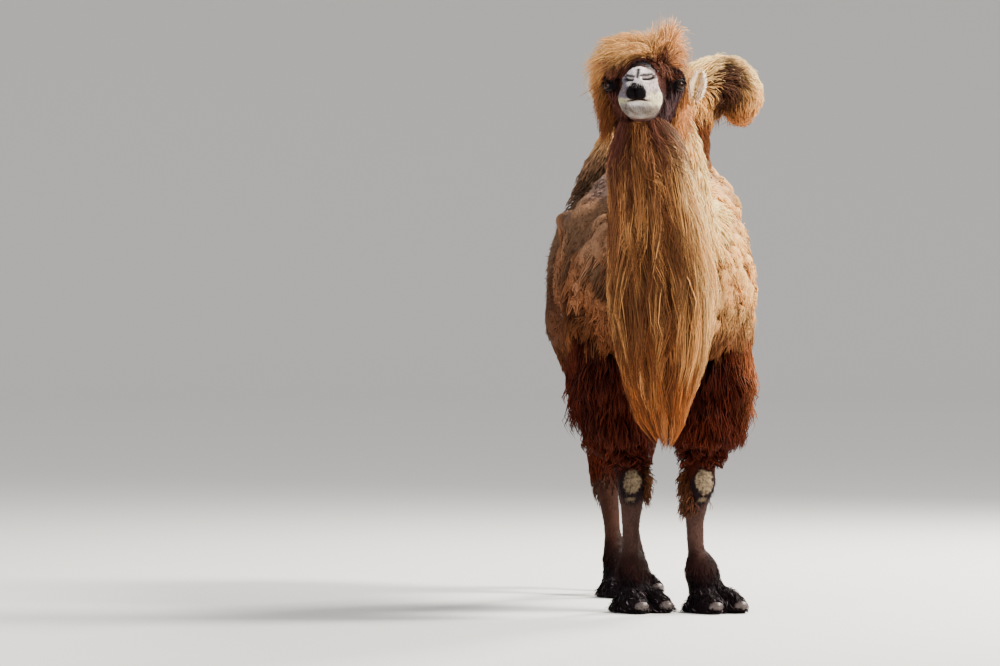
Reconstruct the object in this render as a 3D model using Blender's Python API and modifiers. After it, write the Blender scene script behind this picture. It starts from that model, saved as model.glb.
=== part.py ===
"""Bactrian camel standing square-on with its head raised: a still, life-size model.

Metres, +Z up. The camel faces -Y and its left side is +X. The solids reach out to the tips of
the coat. Limbs, trunk, neck, beard and humps are lofts of oval rings along curved paths. The
lofts round a sub-part are joined by a voxel remesh, smoothed, and cut to the sub-part's own cell,
so neighbours meet face to face across a thin gap. Nothing moves, so there are no joints.
"""
import math

import bmesh
import bpy
import numpy as np
from mathutils import Matrix, Vector

COLLECTION = "bactrian_camel"
CUTTERS = "cutters"

GAP = 0.0004                # clear space between two neighbouring sub-parts
FAR = 2.6                   # further out than any point of the camel
RING_SIDES = 20
RINGS_PER_SPAN = 4

# Levels and planes where the body is parted (y runs backwards, z up)
ELBOW_Z = 0.85
HUMP_BASE_Z = 1.60
STIFLE = (0.62, ELBOW_Z)
TAIL_ROOT = (1.31, 1.09)
CHEST_FOOT = (-0.28, 0.93)
WITHERS_FRONT = (-0.17, HUMP_BASE_Z)
HUMP_PARTING_Y = 0.58
THROAT_Y = -0.74
NAPE_Y = -0.25
JAW_SLOPE = 0.314           # rise of the head and neck parting, going back
JAW_LEVEL = 1.69            # its height under the jaw
JAW_Y = -0.75

# Head: the middle point between the eyes, and how far the head turns to the camel's right
EYE_LEVEL = 1.876
HEAD_MIDDLE = (-0.150, -0.690, EYE_LEVEL)
HEAD_TURN = math.radians(11)
EYE_RADIUS = 0.024
EYE_PLACE = (0.116, 0.004, -0.006)

# Feet: middle of the pad, turn of the toes to the camel's left, size against a forefoot
FOOT_TURN = math.radians(22)
FOREFOOT = 1.0
HINDFOOT = 0.86
PAD_HALF_WIDTH = 0.104
PAD_HALF_LENGTH = 0.112
TOE_SIDE = 0.052
FEET = {
    "foreleg_right": (-0.088, -0.045, FOREFOOT),
    "foreleg_left": (0.177, -0.085, FOREFOOT),
    "hindleg_right": (-0.034, 0.860, HINDFOOT),
    "hindleg_left": (0.066, 1.165, HINDFOOT),
}

# Lofts: rows of (x, y, z, half width, half depth), out to the tips of the coat
TRUNK = [
    (-0.01, -0.33, 1.17, 0.10, 0.12), (0.0, -0.24, 1.17, 0.25, 0.26), (0.0, -0.10, 1.19, 0.335, 0.33),
    (0.0, 0.10, 1.215, 0.350, 0.36), (0.0, 0.32, 1.225, 0.348, 0.362), (0.0, 0.56, 1.23, 0.342, 0.352),
    (0.0, 0.80, 1.26, 0.325, 0.320), (0.0, 1.00, 1.285, 0.300, 0.275), (0.0, 1.17, 1.285, 0.258, 0.232),
    (0.0, 1.28, 1.26, 0.175, 0.170), (0.0, 1.34, 1.24, 0.07, 0.08),
]
SHOULDERS = [(0.0, 0.02, 1.12, 0.15, 0.15), (0.0, 0.03, 1.30, 0.31, 0.20), (0.02, 0.07, 1.44, 0.275, 0.20),
             (0.02, 0.10, 1.52, 0.17, 0.14), (0.02, 0.12, 1.555, 0.06, 0.05)]
NECK = [
    (0.0, 0.06, 1.28, 0.25, 0.26), (0.0, -0.13, 1.19, 0.23, 0.245), (-0.02, -0.31, 1.14, 0.19, 0.205),
    (-0.045, -0.46, 1.20, 0.165, 0.18), (-0.065, -0.535, 1.33, 0.155, 0.165), (-0.09, -0.555, 1.49, 0.15, 0.155),
    (-0.11, -0.545, 1.65, 0.148, 0.15), (-0.12, -0.52, 1.79, 0.135, 0.135), (-0.125, -0.50, 1.90, 0.10, 0.10),
]
MANE = [
    (0.02, -0.10, 1.40, 0.21, 0.17), (0.005, -0.27, 1.345, 0.185, 0.18), (-0.01, -0.385, 1.44, 0.168, 0.17),
    (-0.015, -0.43, 1.62, 0.160, 0.12), (-0.05, -0.44, 1.75, 0.145, 0.11), (-0.09, -0.45, 1.86, 0.11, 0.09),
]
BEARD = [
    (-0.165, -0.70, 1.76, 0.075, 0.06), (-0.14, -0.665, 1.65, 0.135, 0.10), (-0.115, -0.65, 1.50, 0.162, 0.125),
    (-0.088, -0.615, 1.34, 0.182, 0.145), (-0.068, -0.575, 1.18, 0.204, 0.155), (-0.058, -0.54, 1.02, 0.194, 0.14),
    (-0.056, -0.51, 0.89, 0.162, 0.115), (-0.060, -0.485, 0.77, 0.116, 0.085), (-0.050, -0.46, 0.68, 0.075, 0.055),
    (-0.038, -0.445, 0.60, 0.022, 0.02),
]
HUMP_FRONT = [
    (0.03, 0.24, 1.46, 0.27, 0.24), (0.055, 0.25, 1.60, 0.235, 0.215), (0.10, 0.26, 1.74, 0.19, 0.155),
    (0.155, 0.27, 1.86, 0.165, 0.115), (0.235, 0.285, 1.925, 0.155, 0.128), (0.312, 0.295, 1.920, 0.145, 0.125),
    (0.358, 0.30, 1.872, 0.125, 0.090), (0.330, 0.30, 1.81, 0.095, 0.075), (0.300, 0.30, 1.765, 0.04, 0.03),
]
HUMP_REAR = [
    (0.0, 0.87, 1.44, 0.27, 0.25), (0.0, 0.87, 1.58, 0.235, 0.20), (0.005, 0.88, 1.70, 0.185, 0.145),
    (0.01, 0.885, 1.81, 0.135, 0.105), (0.02, 0.89, 1.90, 0.09, 0.07), (0.03, 0.89, 1.95, 0.04, 0.03),
]
TAIL = [
    (0.0, 1.20, 1.40, 0.06, 0.06), (0.0, 1.31, 1.38, 0.055, 0.055), (0.0, 1.375, 1.28, 0.045, 0.042),
    (0.0, 1.40, 1.14, 0.042, 0.036), (0.0, 1.405, 1.00, 0.048, 0.042), (0.0, 1.40, 0.90, 0.036, 0.032),
    (0.0, 1.395, 0.84, 0.012, 0.012),
]
LEGS = {
    "foreleg_right": [
        (-0.18, 0.05, 1.36, 0.12, 0.13), (-0.205, 0.02, 1.18, 0.150, 0.17), (-0.212, 0.0, 0.98, 0.152, 0.18),
        (-0.206, 0.0, 0.85, 0.158, 0.18), (-0.198, 0.0, 0.72, 0.155, 0.165), (-0.176, -0.005, 0.62, 0.128, 0.14),
        (-0.145, -0.015, 0.56, 0.092, 0.108), (-0.116, -0.025, 0.515, 0.066, 0.082),
        (-0.106, -0.030, 0.46, 0.060, 0.070), (-0.103, -0.015, 0.40, 0.050, 0.056),
        (-0.103, 0.0, 0.32, 0.038, 0.042), (-0.102, 0.005, 0.22, 0.038, 0.042),
        (-0.096, -0.005, 0.14, 0.061, 0.062), (-0.092, -0.03, 0.08, 0.085, 0.085), (-0.090, -0.04, 0.03, 0.09, 0.09),
    ],
    "foreleg_left": [
        (0.19, 0.03, 1.36, 0.12, 0.13), (0.214, 0.0, 1.18, 0.155, 0.17), (0.218, -0.02, 0.98, 0.155, 0.18),
        (0.210, -0.025, 0.85, 0.165, 0.18), (0.207, -0.03, 0.74, 0.170, 0.168), (0.205, -0.035, 0.68, 0.163, 0.145),
        (0.192, -0.045, 0.63, 0.143, 0.118), (0.162, -0.052, 0.585, 0.088, 0.095), (0.145, -0.058, 0.53, 0.066, 0.078),
        (0.140, -0.060, 0.46, 0.060, 0.070), (0.132, -0.045, 0.40, 0.050, 0.056),
        (0.128, -0.03, 0.32, 0.040, 0.042), (0.134, -0.03, 0.22, 0.039, 0.042),
        (0.152, -0.045, 0.14, 0.061, 0.062), (0.167, -0.07, 0.08, 0.085, 0.085), (0.174, -0.08, 0.03, 0.09, 0.09),
    ],
    "hindleg_right": [
        (-0.15, 1.00, 1.34, 0.12, 0.17), (-0.168, 0.99, 1.16, 0.135, 0.225), (-0.158, 0.965, 1.00, 0.130, 0.210),
        (-0.135, 0.945, 0.86, 0.107, 0.165), (-0.110, 0.955, 0.74, 0.086, 0.122), (-0.088, 0.99, 0.62, 0.068, 0.088),
        (-0.072, 1.035, 0.51, 0.058, 0.078), (-0.062, 1.045, 0.43, 0.054, 0.066), (-0.050, 1.01, 0.35, 0.042, 0.050),
        (-0.043, 0.965, 0.24, 0.037, 0.042), (-0.038, 0.925, 0.15, 0.051, 0.056),
        (-0.036, 0.885, 0.08, 0.068, 0.075), (-0.034, 0.87, 0.03, 0.078, 0.080),
    ],
    "hindleg_left": [
        (0.15, 1.02, 1.34, 0.12, 0.17), (0.168, 1.03, 1.16, 0.135, 0.225), (0.160, 1.04, 1.00, 0.130, 0.210),
        (0.142, 1.06, 0.86, 0.107, 0.165), (0.122, 1.11, 0.74, 0.086, 0.122), (0.103, 1.18, 0.62, 0.068, 0.088),
        (0.088, 1.255, 0.51, 0.058, 0.078), (0.080, 1.285, 0.43, 0.054, 0.066), (0.074, 1.27, 0.35, 0.042, 0.050),
        (0.068, 1.245, 0.24, 0.037, 0.042), (0.066, 1.22, 0.15, 0.051, 0.056),
        (0.066, 1.185, 0.08, 0.068, 0.075), (0.066, 1.17, 0.03, 0.078, 0.080),
    ],
}

# Head lofts in the head's own axes: (to the left, forward, up, half width, half depth)
SKULL = [
    (0, -0.25, -0.005, 0.06, 0.07), (0, -0.17, -0.008, 0.105, 0.122), (0, -0.09, -0.022, 0.118, 0.145),
    (0, -0.02, -0.016, 0.112, 0.130), (0, 0.05, -0.010, 0.090, 0.108), (0, 0.12, -0.012, 0.070, 0.092),
    (0, 0.18, -0.016, 0.060, 0.080), (0, 0.235, -0.018, 0.057, 0.072), (0, 0.275, -0.022, 0.052, 0.064),
    (0, 0.298, -0.026, 0.036, 0.044),
]
LIPS = [(0, 0.13, -0.058, 0.055, 0.045), (0, 0.19, -0.064, 0.070, 0.050), (0, 0.24, -0.068, 0.079, 0.052),
        (0, 0.275, -0.066, 0.070, 0.045), (0, 0.297, -0.060, 0.042, 0.028)]
LOWER_JAW = [(0, -0.13, -0.090, 0.080, 0.070), (0, -0.02, -0.095, 0.068, 0.058), (0, 0.08, -0.085, 0.052, 0.045),
             (0, 0.17, -0.088, 0.052, 0.040), (0, 0.235, -0.094, 0.058, 0.036), (0, 0.262, -0.092, 0.034, 0.024)]
# Ovals of the head: (middle to the left, forward, up), (half sizes); a side value is mirrored
HEAD_OVALS = [
    ((0.107, -0.006, 0.016), (0.034, 0.048, 0.036)),       # brow over each eye
    ((0.0, -0.110, 0.088), (0.160, 0.150, 0.112)),         # crown hair
    ((0.0, -0.215, 0.020), (0.150, 0.125, 0.140)),         # nape hair
    ((0.105, -0.145, -0.010), (0.078, 0.105, 0.125)),      # hair behind the cheek
    ((0.030, 0.238, 0.012), (0.026, 0.040, 0.026)),        # nose wing
]
# Ovals of the crown's hair that are on one side only
CROWN_OVALS = [
    ((-0.105, -0.100, 0.085), (0.080, 0.100, 0.075)),      # hair swept over the right brow
    ((0.088, -0.080, 0.125), (0.062, 0.070, 0.068)),       # tuft standing on the left
]
# Ovals of the long hair on the inner side of each foreleg's knee: middle, half sizes
KNEE_FRINGES = {
    "foreleg_right": ((-0.058, -0.010, 0.475), (0.058, 0.050, 0.055)),
    "foreleg_left": ((0.095, -0.040, 0.445), (0.050, 0.050, 0.078)),
}
EAR_ROOT = (0.168, -0.170, -0.045)
EAR_TIP = (0.192, -0.185, 0.058)
EAR_HALF = (0.027, 0.014)

# Skin and coat colours of the solids (linear RGB)
COLOURS = {
    "head": (0.16, 0.075, 0.04), "ear": (0.55, 0.36, 0.20), "eye": (0.012, 0.008, 0.006),
    "neck": (0.44, 0.20, 0.085), "beard": (0.50, 0.22, 0.07), "trunk": (0.33, 0.17, 0.09),
    "hump": (0.50, 0.29, 0.15), "tail": (0.20, 0.09, 0.04), "leg": (0.13, 0.045, 0.022),
    "nail": (0.36, 0.29, 0.22),
}
ROUGH = {"eye": 0.08, "nail": 0.45}


def collection(name):
    """Make a collection in the scene."""
    made = bpy.data.collections.new(name)
    bpy.context.scene.collection.children.link(made)
    return made


def clear_scene():
    """Remove every object of the file that the script runs in."""
    for obj in list(bpy.data.objects):
        bpy.data.objects.remove(obj, do_unlink=True)


def material(kind):
    """Give the plain material of one kind of sub-part."""
    found = bpy.data.materials.get(kind)
    if found:
        return found
    made = bpy.data.materials.new(kind)
    made.use_nodes = True
    shader = made.node_tree.nodes["Principled BSDF"]
    shader.inputs["Base Color"].default_value = (*COLOURS[kind], 1.0)
    shader.inputs["Roughness"].default_value = ROUGH.get(kind, 0.85)
    return made


def add_object(name, mesh, where):
    """Link a mesh as an object of a collection."""
    obj = bpy.data.objects.new(name, mesh)
    where.objects.link(obj)
    return obj


def mesh_from(bm, name):
    """Turn a bmesh into a mesh with outward faces."""
    bmesh.ops.recalc_face_normals(bm, faces=bm.faces)
    mesh = bpy.data.meshes.new(name)
    bm.to_mesh(mesh)
    bm.free()
    return mesh


def eased(rows):
    """Pass a Catmull-Rom curve through the rows, with RINGS_PER_SPAN steps a span."""
    rows = np.array(rows, dtype=float)
    padded = np.vstack([2 * rows[0] - rows[1], rows, 2 * rows[-1] - rows[-2]])
    steps = np.arange(RINGS_PER_SPAN) / RINGS_PER_SPAN
    points = []
    for a, b, c, d in zip(padded, padded[1:], padded[2:], padded[3:]):
        for t in steps:
            points.append(0.5 * (2 * b + (c - a) * t + (2 * a - 5 * b + 4 * c - d) * t ** 2
                                 + (3 * b - a - 3 * c + d) * t ** 3))
    points.append(rows[-1])
    return np.array(points)


def loft(bm, rows, side=(1.0, 0.0, 0.0), place=None, sides=RING_SIDES):
    """Add a closed loft of oval rings; side is the direction of each ring's width."""
    points = eased(rows)
    path, widths, depths = points[:, :3], points[:, 3], points[:, 4]
    tangents = np.gradient(path, axis=0)
    tangents /= np.linalg.norm(tangents, axis=1)[:, None]
    angles = np.arange(sides) * 2 * math.pi / sides
    rings = []
    for centre, tangent, width, depth in zip(path, tangents, widths, depths):
        across = np.array(side) - np.dot(side, tangent) * tangent
        across /= np.linalg.norm(across)
        up = np.cross(tangent, across)
        ring = []
        for angle in angles:
            point = Vector(centre + across * width * math.cos(angle) + up * depth * math.sin(angle))
            ring.append(bm.verts.new(place @ point if place else point))
        rings.append(ring)
    for low, high in zip(rings, rings[1:]):
        for k in range(sides):
            following = (k + 1) % sides
            bm.faces.new((low[k], low[following], high[following], high[k]))
    bm.faces.new(rings[0])
    bm.faces.new(rings[-1])


def oval(bm, centre, halves, place=None, turn=0.0, sides=20):
    """Add an ellipsoid, turned about +Z."""
    matrix = Matrix.Translation(centre) @ Matrix.Rotation(turn, 4, "Z") @ Matrix.Diagonal((*halves, 1.0))
    if place:
        matrix = place @ matrix
    bmesh.ops.create_uvsphere(bm, u_segments=sides, v_segments=sides // 2, radius=1.0, matrix=matrix)


def head_matrix():
    """Head axes (left, forward, up) to the model's axes."""
    sine, cosine = math.sin(HEAD_TURN), math.cos(HEAD_TURN)
    axes = Matrix(((cosine, -sine, 0.0), (-sine, -cosine, 0.0), (0.0, 0.0, 1.0))).to_4x4()
    return Matrix.Translation(HEAD_MIDDLE) @ axes


def foot_point(leg, sideways, forward, height):
    """A point of a foot: sideways to the camel's left and forward along the toes."""
    x, y, size = FEET[leg]
    sine, cosine = math.sin(FOOT_TURN), math.cos(FOOT_TURN)
    return Vector((x + size * (sideways * cosine + forward * sine),
                   y + size * (sideways * sine - forward * cosine), height * size))


def add_head(bm):
    """Skull, lips, lower jaw, brows, nose wings and the hair round the crown and cheeks."""
    place = head_matrix()
    for rows in (SKULL, LIPS, LOWER_JAW):
        loft(bm, rows, place=place)
    for centre, halves in HEAD_OVALS:
        for sign in (1, -1) if centre[0] else (1,):
            oval(bm, (sign * centre[0], centre[1], centre[2]), halves, place)
    for centre, halves in CROWN_OVALS:
        oval(bm, centre, halves, place)


def add_leg(bm, leg):
    """A leg with its long upper hair, broad pad and two toes; it runs below the floor level."""
    loft(bm, LEGS[leg])
    if leg in KNEE_FRINGES:
        oval(bm, *KNEE_FRINGES[leg])
    size = FEET[leg][2]
    pad = foot_point(leg, 0.0, 0.0, 0.012)
    oval(bm, pad, (PAD_HALF_WIDTH * size, PAD_HALF_LENGTH * size, 0.052 * size), turn=FOOT_TURN)
    for sign in (1, -1):
        toe = foot_point(leg, sign * TOE_SIDE, 0.070, 0.024)
        oval(bm, toe, (0.047 * size, 0.075 * size, 0.048 * size), turn=FOOT_TURN)
        knuckle = foot_point(leg, sign * TOE_SIDE * 0.85, 0.045, 0.060)
        oval(bm, knuckle, (0.040 * size, 0.055 * size, 0.038 * size), turn=FOOT_TURN)


def add_lofts(bm, names):
    """Add the named body pieces to one bmesh."""
    for name in names:
        if name == "head":
            add_head(bm)
        elif name in LEGS:
            add_leg(bm, name)
        elif name in ("hump_front", "hump_rear"):
            loft(bm, {"hump_front": HUMP_FRONT, "hump_rear": HUMP_REAR}[name], side=(0.0, 1.0, 0.0))
        else:
            loft(bm, {"trunk": TRUNK, "shoulders": SHOULDERS, "neck": NECK, "mane": MANE,
                      "beard": BEARD, "tail": TAIL}[name])


def jaw_line(y):
    """Height of the parting between head and neck."""
    return JAW_LEVEL + JAW_SLOPE * (y - JAW_Y)


def cells():
    """Side-view outline (y, z) of the space that each sub-part may fill."""
    throat = (THROAT_Y, jaw_line(THROAT_Y))
    front = [throat, (-0.69, 1.35), (-0.57, 1.06), CHEST_FOOT]
    fore = [(CHEST_FOOT[0], ELBOW_Z), (CHEST_FOOT[0], 0.0), (STIFLE[0], 0.0), STIFLE]
    slope = (TAIL_ROOT[1] - STIFLE[1]) / (TAIL_ROOT[0] - STIFLE[0])
    hind = [STIFLE, (STIFLE[0], 0.0), (FAR, 0.0), (FAR, STIFLE[1] + slope * (FAR - STIFLE[0]))]
    top = (WITHERS_FRONT[0], jaw_line(WITHERS_FRONT[0]))
    tail_top = (TAIL_ROOT[0], HUMP_BASE_Z)
    parting = (HUMP_PARTING_Y, HUMP_BASE_Z)
    return {
        "head": [(-FAR, jaw_line(-FAR)), (NAPE_Y, jaw_line(NAPE_Y)), (NAPE_Y, FAR), (-FAR, FAR)],
        "beard": front + [(CHEST_FOOT[0], 0.0), (-FAR, 0.0), (-FAR, jaw_line(-FAR))],
        "neck": front + [WITHERS_FRONT, top],
        "trunk": [CHEST_FOOT, (CHEST_FOOT[0], ELBOW_Z), STIFLE, TAIL_ROOT, tail_top, WITHERS_FRONT],
        "hump_front": [WITHERS_FRONT, parting, (HUMP_PARTING_Y, FAR), (WITHERS_FRONT[0], FAR)],
        "hump_rear": [parting, tail_top, (TAIL_ROOT[0], FAR), (HUMP_PARTING_Y, FAR)],
        "tail": [(TAIL_ROOT[0], 0.0), (FAR, 0.0), (FAR, HUMP_BASE_Z), tail_top],
        "foreleg_right": fore, "foreleg_left": fore,
        "hindleg_right": hind, "hindleg_left": hind,
    }


def shrunk(outline):
    """Move each side of an outline inwards by half the gap, leaving the floor line where it is."""
    points = [Vector(p) for p in outline]
    area = sum(a.cross(b) for a, b in zip(points, points[1:] + points[:1]))
    turn = 1 if area > 0 else -1
    lines = []
    for a, b in zip(points, points[1:] + points[:1]):
        along = (b - a).normalized()
        inward = Vector((-along.y, along.x)) * turn
        on_floor = a.y == 0.0 and b.y == 0.0
        lines.append((a + inward * (0.0 if on_floor else GAP / 2), along))
    moved = []
    for (p, u), (q, v) in zip(lines[-1:] + lines[:-1], lines):
        moved.append(p + u * ((q - p).cross(v) / u.cross(v)))
    return moved


def prism(name, outline, where):
    """A cutter: the outline in the YZ plane, as wide as the model."""
    bm = bmesh.new()
    face = bm.faces.new([bm.verts.new((-FAR, p.x, p.y)) for p in shrunk(outline)])
    made = bmesh.ops.extrude_face_region(bm, geom=[face])["geom"]
    moved = [v for v in made if isinstance(v, bmesh.types.BMVert)]
    bmesh.ops.translate(bm, verts=moved, vec=(2 * FAR, 0.0, 0.0))
    obj = add_object(name, mesh_from(bm, name), where)
    obj.hide_render = True
    obj.display_type = "WIRE"
    return obj


def bake(obj):
    """Replace an object's mesh by its evaluated mesh and drop the modifiers."""
    graph = bpy.context.evaluated_depsgraph_get()
    mesh = bpy.data.meshes.new_from_object(obj.evaluated_get(graph))
    obj.modifiers.clear()
    obj.data = mesh


def keep_largest(obj):
    """Drop all but the biggest loose piece of a mesh."""
    bm = bmesh.new()
    bm.from_mesh(obj.data)
    left = set(bm.verts)
    islands = []
    while left:
        stack = [left.pop()]
        island = set(stack)
        while stack:
            for edge in stack.pop().link_edges:
                for vert in edge.verts:
                    if vert in left:
                        left.remove(vert)
                        island.add(vert)
                        stack.append(vert)
        islands.append(island)
    islands.sort(key=len)
    spare = [v for island in islands[:-1] for v in island]
    bmesh.ops.delete(bm, geom=spare, context="VERTS")
    bm.to_mesh(obj.data)
    bm.free()


def cut(obj, cutter, operation):
    """Boolean an object with a cutter and bake the result."""
    modifier = obj.modifiers.new("Cut", "BOOLEAN")
    modifier.operation = operation
    modifier.object = cutter
    modifier.solver = "EXACT"
    bake(obj)


def flesh(name, kind, pieces, voxel, facet, smoothing, where, cutter):
    """Join body pieces, smooth them, thin the facets to a mean area and cut out one sub-part."""
    bm = bmesh.new()
    add_lofts(bm, pieces)
    obj = add_object(name, mesh_from(bm, name), where)
    remesh = obj.modifiers.new("Join", "REMESH")
    remesh.mode = "VOXEL"
    remesh.voxel_size = voxel
    smooth = obj.modifiers.new("Smooth", "SMOOTH")
    smooth.factor = 0.5
    smooth.iterations = smoothing
    thin = obj.modifiers.new("Thin", "DECIMATE")
    thin.ratio = min(1.0, voxel ** 2 / 2 / facet)
    thin.use_collapse_triangulate = True
    bake(obj)
    cut(obj, cutter, "INTERSECT")
    keep_largest(obj)
    obj.data.materials.clear()
    obj.data.materials.append(material(kind))
    return obj


def small_piece(name, kind, build, host, where, cutters):
    """Make a small piece, and its socket a gap wider in the sub-part that carries it."""
    for grow, target in ((0.0, where), (GAP, cutters)):
        bm = bmesh.new()
        build(bm, grow)
        label = name if target is where else name + "_socket"
        obj = add_object(label, mesh_from(bm, label), target)
        if target is where:
            obj.data.materials.append(material(kind))
            piece = obj
        else:
            obj.hide_render = True
            obj.display_type = "WIRE"
            cut(host, obj, "DIFFERENCE")
            keep_largest(host)
            bpy.data.objects.remove(obj, do_unlink=True)
    return piece


def eye_builder(sign):
    """An eyeball in its orbit."""
    def build(bm, grow):
        centre = (sign * EYE_PLACE[0], EYE_PLACE[1], EYE_PLACE[2])
        oval(bm, centre, [EYE_RADIUS + grow] * 3, head_matrix(), sides=12)
    return build


def ear_builder(sign):
    """A short leaf-shaped ear, rising out of the hair."""
    def build(bm, grow):
        root, tip = Vector(EAR_ROOT), Vector(EAR_TIP)
        longer = grow / (tip - root).length
        rows = []
        for share, size in ((-0.1 - longer, 0.6), (0.4, 1.0), (0.8, 0.75), (1.0 + longer, 0.25)):
            point = root.lerp(tip, share)
            rows.append((sign * point.x, point.y, point.z, EAR_HALF[0] * size + grow, EAR_HALF[1] * size + grow))
        loft(bm, rows, place=head_matrix(), sides=8)
    return build


def nail_builder(leg, sign):
    """A blunt nail at the end of a toe, clear of the floor."""
    def build(bm, grow):
        size = FEET[leg][2]
        centre = foot_point(leg, sign * TOE_SIDE, 0.127, 0.027)
        halves = [half * size + grow for half in (0.030, 0.024, 0.019)]
        oval(bm, centre, halves, turn=FOOT_TURN, sides=8)
    return build


def stand_on_origin(objects):
    """Move the model so that the middle of its box's underside is the origin."""
    corners = np.array([v.co for obj in objects for v in obj.data.vertices])
    low, high = corners.min(axis=0), corners.max(axis=0)
    shift = Matrix.Translation((-(low[0] + high[0]) / 2, -(low[1] + high[1]) / 2, 0.0))
    for obj in objects:
        obj.data.transform(shift)
        obj.data.update()
    return shift.translation


def main():
    clear_scene()
    where, cutters = collection(COLLECTION), collection(CUTTERS)
    outlines = cells()
    trunk = ("trunk", "shoulders", "neck", "mane", "hump_front", "hump_rear", "tail") + tuple(LEGS)
    front = ("neck", "mane", "beard", "trunk", "shoulders")
    plan = [
        ("head", "head", ("head", "neck", "mane", "beard"), 0.0065, 0.00116, 3),
        ("neck", "neck", front + ("head",), 0.012, 0.0046, 6),
        ("beard", "beard", front, 0.012, 0.0025, 4),
        ("trunk", "trunk", trunk, 0.015, 0.0029, 9),
        ("hump_front", "hump", ("hump_front", "trunk"), 0.012, 0.0042, 4),
        ("hump_rear", "hump", ("hump_rear", "trunk"), 0.012, 0.0025, 4),
        ("tail", "tail", ("tail", "trunk"), 0.009, 0.0050, 3),
    ]
    plan += [(leg, "leg", (leg, "trunk"), 0.0085, 0.0048, 3) for leg in LEGS]
    made = {}
    for name, kind, pieces, voxel, facet, smoothing in plan:
        cutter = prism(name + "_cell", outlines[name], cutters)
        made[name] = flesh(name, kind, pieces, voxel, facet, smoothing, where, cutter)
        bpy.data.objects.remove(cutter, do_unlink=True)
    for side, sign in (("left", 1), ("right", -1)):
        small = ((("eye_" + side), "eye", eye_builder(sign)), (("ear_" + side), "ear", ear_builder(sign)))
        for name, kind, build in small:
            made[name] = small_piece(name, kind, build, made["head"], where, cutters)
    for leg in LEGS:
        for toe, sign in (("outer" if leg.endswith("left") else "inner", 1),
                          ("inner" if leg.endswith("left") else "outer", -1)):
            name = f"nail_{leg}_{toe}"
            made[name] = small_piece(name, "nail", nail_builder(leg, sign), made[leg], where, cutters)
    shift = stand_on_origin(list(made.values()))
    print("shift to the origin:", tuple(round(value, 5) for value in shift))
    for name, obj in made.items():
        print(name, "facets", sum(len(face.vertices) - 2 for face in obj.data.polygons))


main()
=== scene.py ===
"""Looks of the standing bactrian camel: one skin, its coat of hair tufts, eyes, lashes, ears and nails.

The body is worked out as a smooth field in the camel's own axes (metres, +Z up, facing -Y, its
left is +X), as limbs of oval sections blended together. The skin is meshed from that field, and
every tuft of the coat is rooted on the skin. ORIGIN carries the camel's axes to the frame's.
"""
import math

import bpy
import numpy as np
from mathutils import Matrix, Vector, kdtree


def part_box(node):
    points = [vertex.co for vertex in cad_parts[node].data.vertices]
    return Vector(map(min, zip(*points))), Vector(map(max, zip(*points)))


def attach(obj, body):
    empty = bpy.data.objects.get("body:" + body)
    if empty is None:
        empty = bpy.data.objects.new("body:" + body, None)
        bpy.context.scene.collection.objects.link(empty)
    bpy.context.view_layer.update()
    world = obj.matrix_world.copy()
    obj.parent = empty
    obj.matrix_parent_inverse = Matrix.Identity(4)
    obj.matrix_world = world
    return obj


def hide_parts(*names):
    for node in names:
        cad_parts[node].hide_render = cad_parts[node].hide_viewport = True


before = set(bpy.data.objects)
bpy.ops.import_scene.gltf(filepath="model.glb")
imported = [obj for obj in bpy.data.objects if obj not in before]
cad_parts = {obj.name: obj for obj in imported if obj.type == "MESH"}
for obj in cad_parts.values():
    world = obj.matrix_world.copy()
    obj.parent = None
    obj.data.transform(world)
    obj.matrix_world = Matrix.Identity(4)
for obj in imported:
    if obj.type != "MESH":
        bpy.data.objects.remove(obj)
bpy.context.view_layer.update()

# ---------------------------------------------------------------- the head's axes, and the shift to the frame
HEAD_TURN = math.radians(11)
HEAD_MIDDLE = np.array((-0.150, -0.690, 1.876))
EYE_PLACE = np.array((0.116, 0.004, -0.006))
EYE_RADIUS = 0.024
LEFT = np.array((math.cos(HEAD_TURN), -math.sin(HEAD_TURN), 0.0))
FORWARD = np.array((-math.sin(HEAD_TURN), -math.cos(HEAD_TURN), 0.0))
UP = np.array((0.0, 0.0, 1.0))


def from_head(point):
    """Head axes (left, forward, up) to the camel's axes."""
    point = np.asarray(point, float)
    return HEAD_MIDDLE + point[..., :1] * LEFT + point[..., 1:2] * FORWARD + point[..., 2:3] * UP


def to_head(points):
    """The camel's axes to head axes."""
    away = points - HEAD_MIDDLE
    return np.stack([away @ LEFT, away @ FORWARD, away @ UP], 1)


def frame_origin():
    """Shift from the camel's axes to the frame's, from where the left eye's solid is."""
    low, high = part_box("eye_left")
    middle = (np.array(low) + np.array(high)) / 2
    shift = middle - from_head(EYE_PLACE)
    shift[2] = 0.0
    return shift


ORIGIN = frame_origin()

# ---------------------------------------------------------------- flesh: sections of the limbs
# Rows of (x, y, z, half width, half depth), inside the solids by the coat's depth
TRUNK = [
    (-0.01, -0.31, 1.17, 0.08, 0.10), (0.0, -0.23, 1.17, 0.22, 0.235), (0.0, -0.10, 1.19, 0.310, 0.305),
    (0.0, 0.10, 1.215, 0.326, 0.337), (0.0, 0.32, 1.225, 0.324, 0.338), (0.0, 0.56, 1.23, 0.320, 0.328),
    (0.0, 0.80, 1.26, 0.303, 0.297), (0.0, 1.00, 1.285, 0.277, 0.252), (0.0, 1.17, 1.285, 0.235, 0.210),
    (0.0, 1.27, 1.26, 0.155, 0.150), (0.0, 1.32, 1.24, 0.06, 0.07),
]
SHOULDERS = [(0.0, 0.02, 1.12, 0.13, 0.13), (0.0, 0.03, 1.30, 0.285, 0.17), (0.02, 0.07, 1.44, 0.250, 0.175),
             (0.02, 0.10, 1.51, 0.15, 0.12)]
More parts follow.
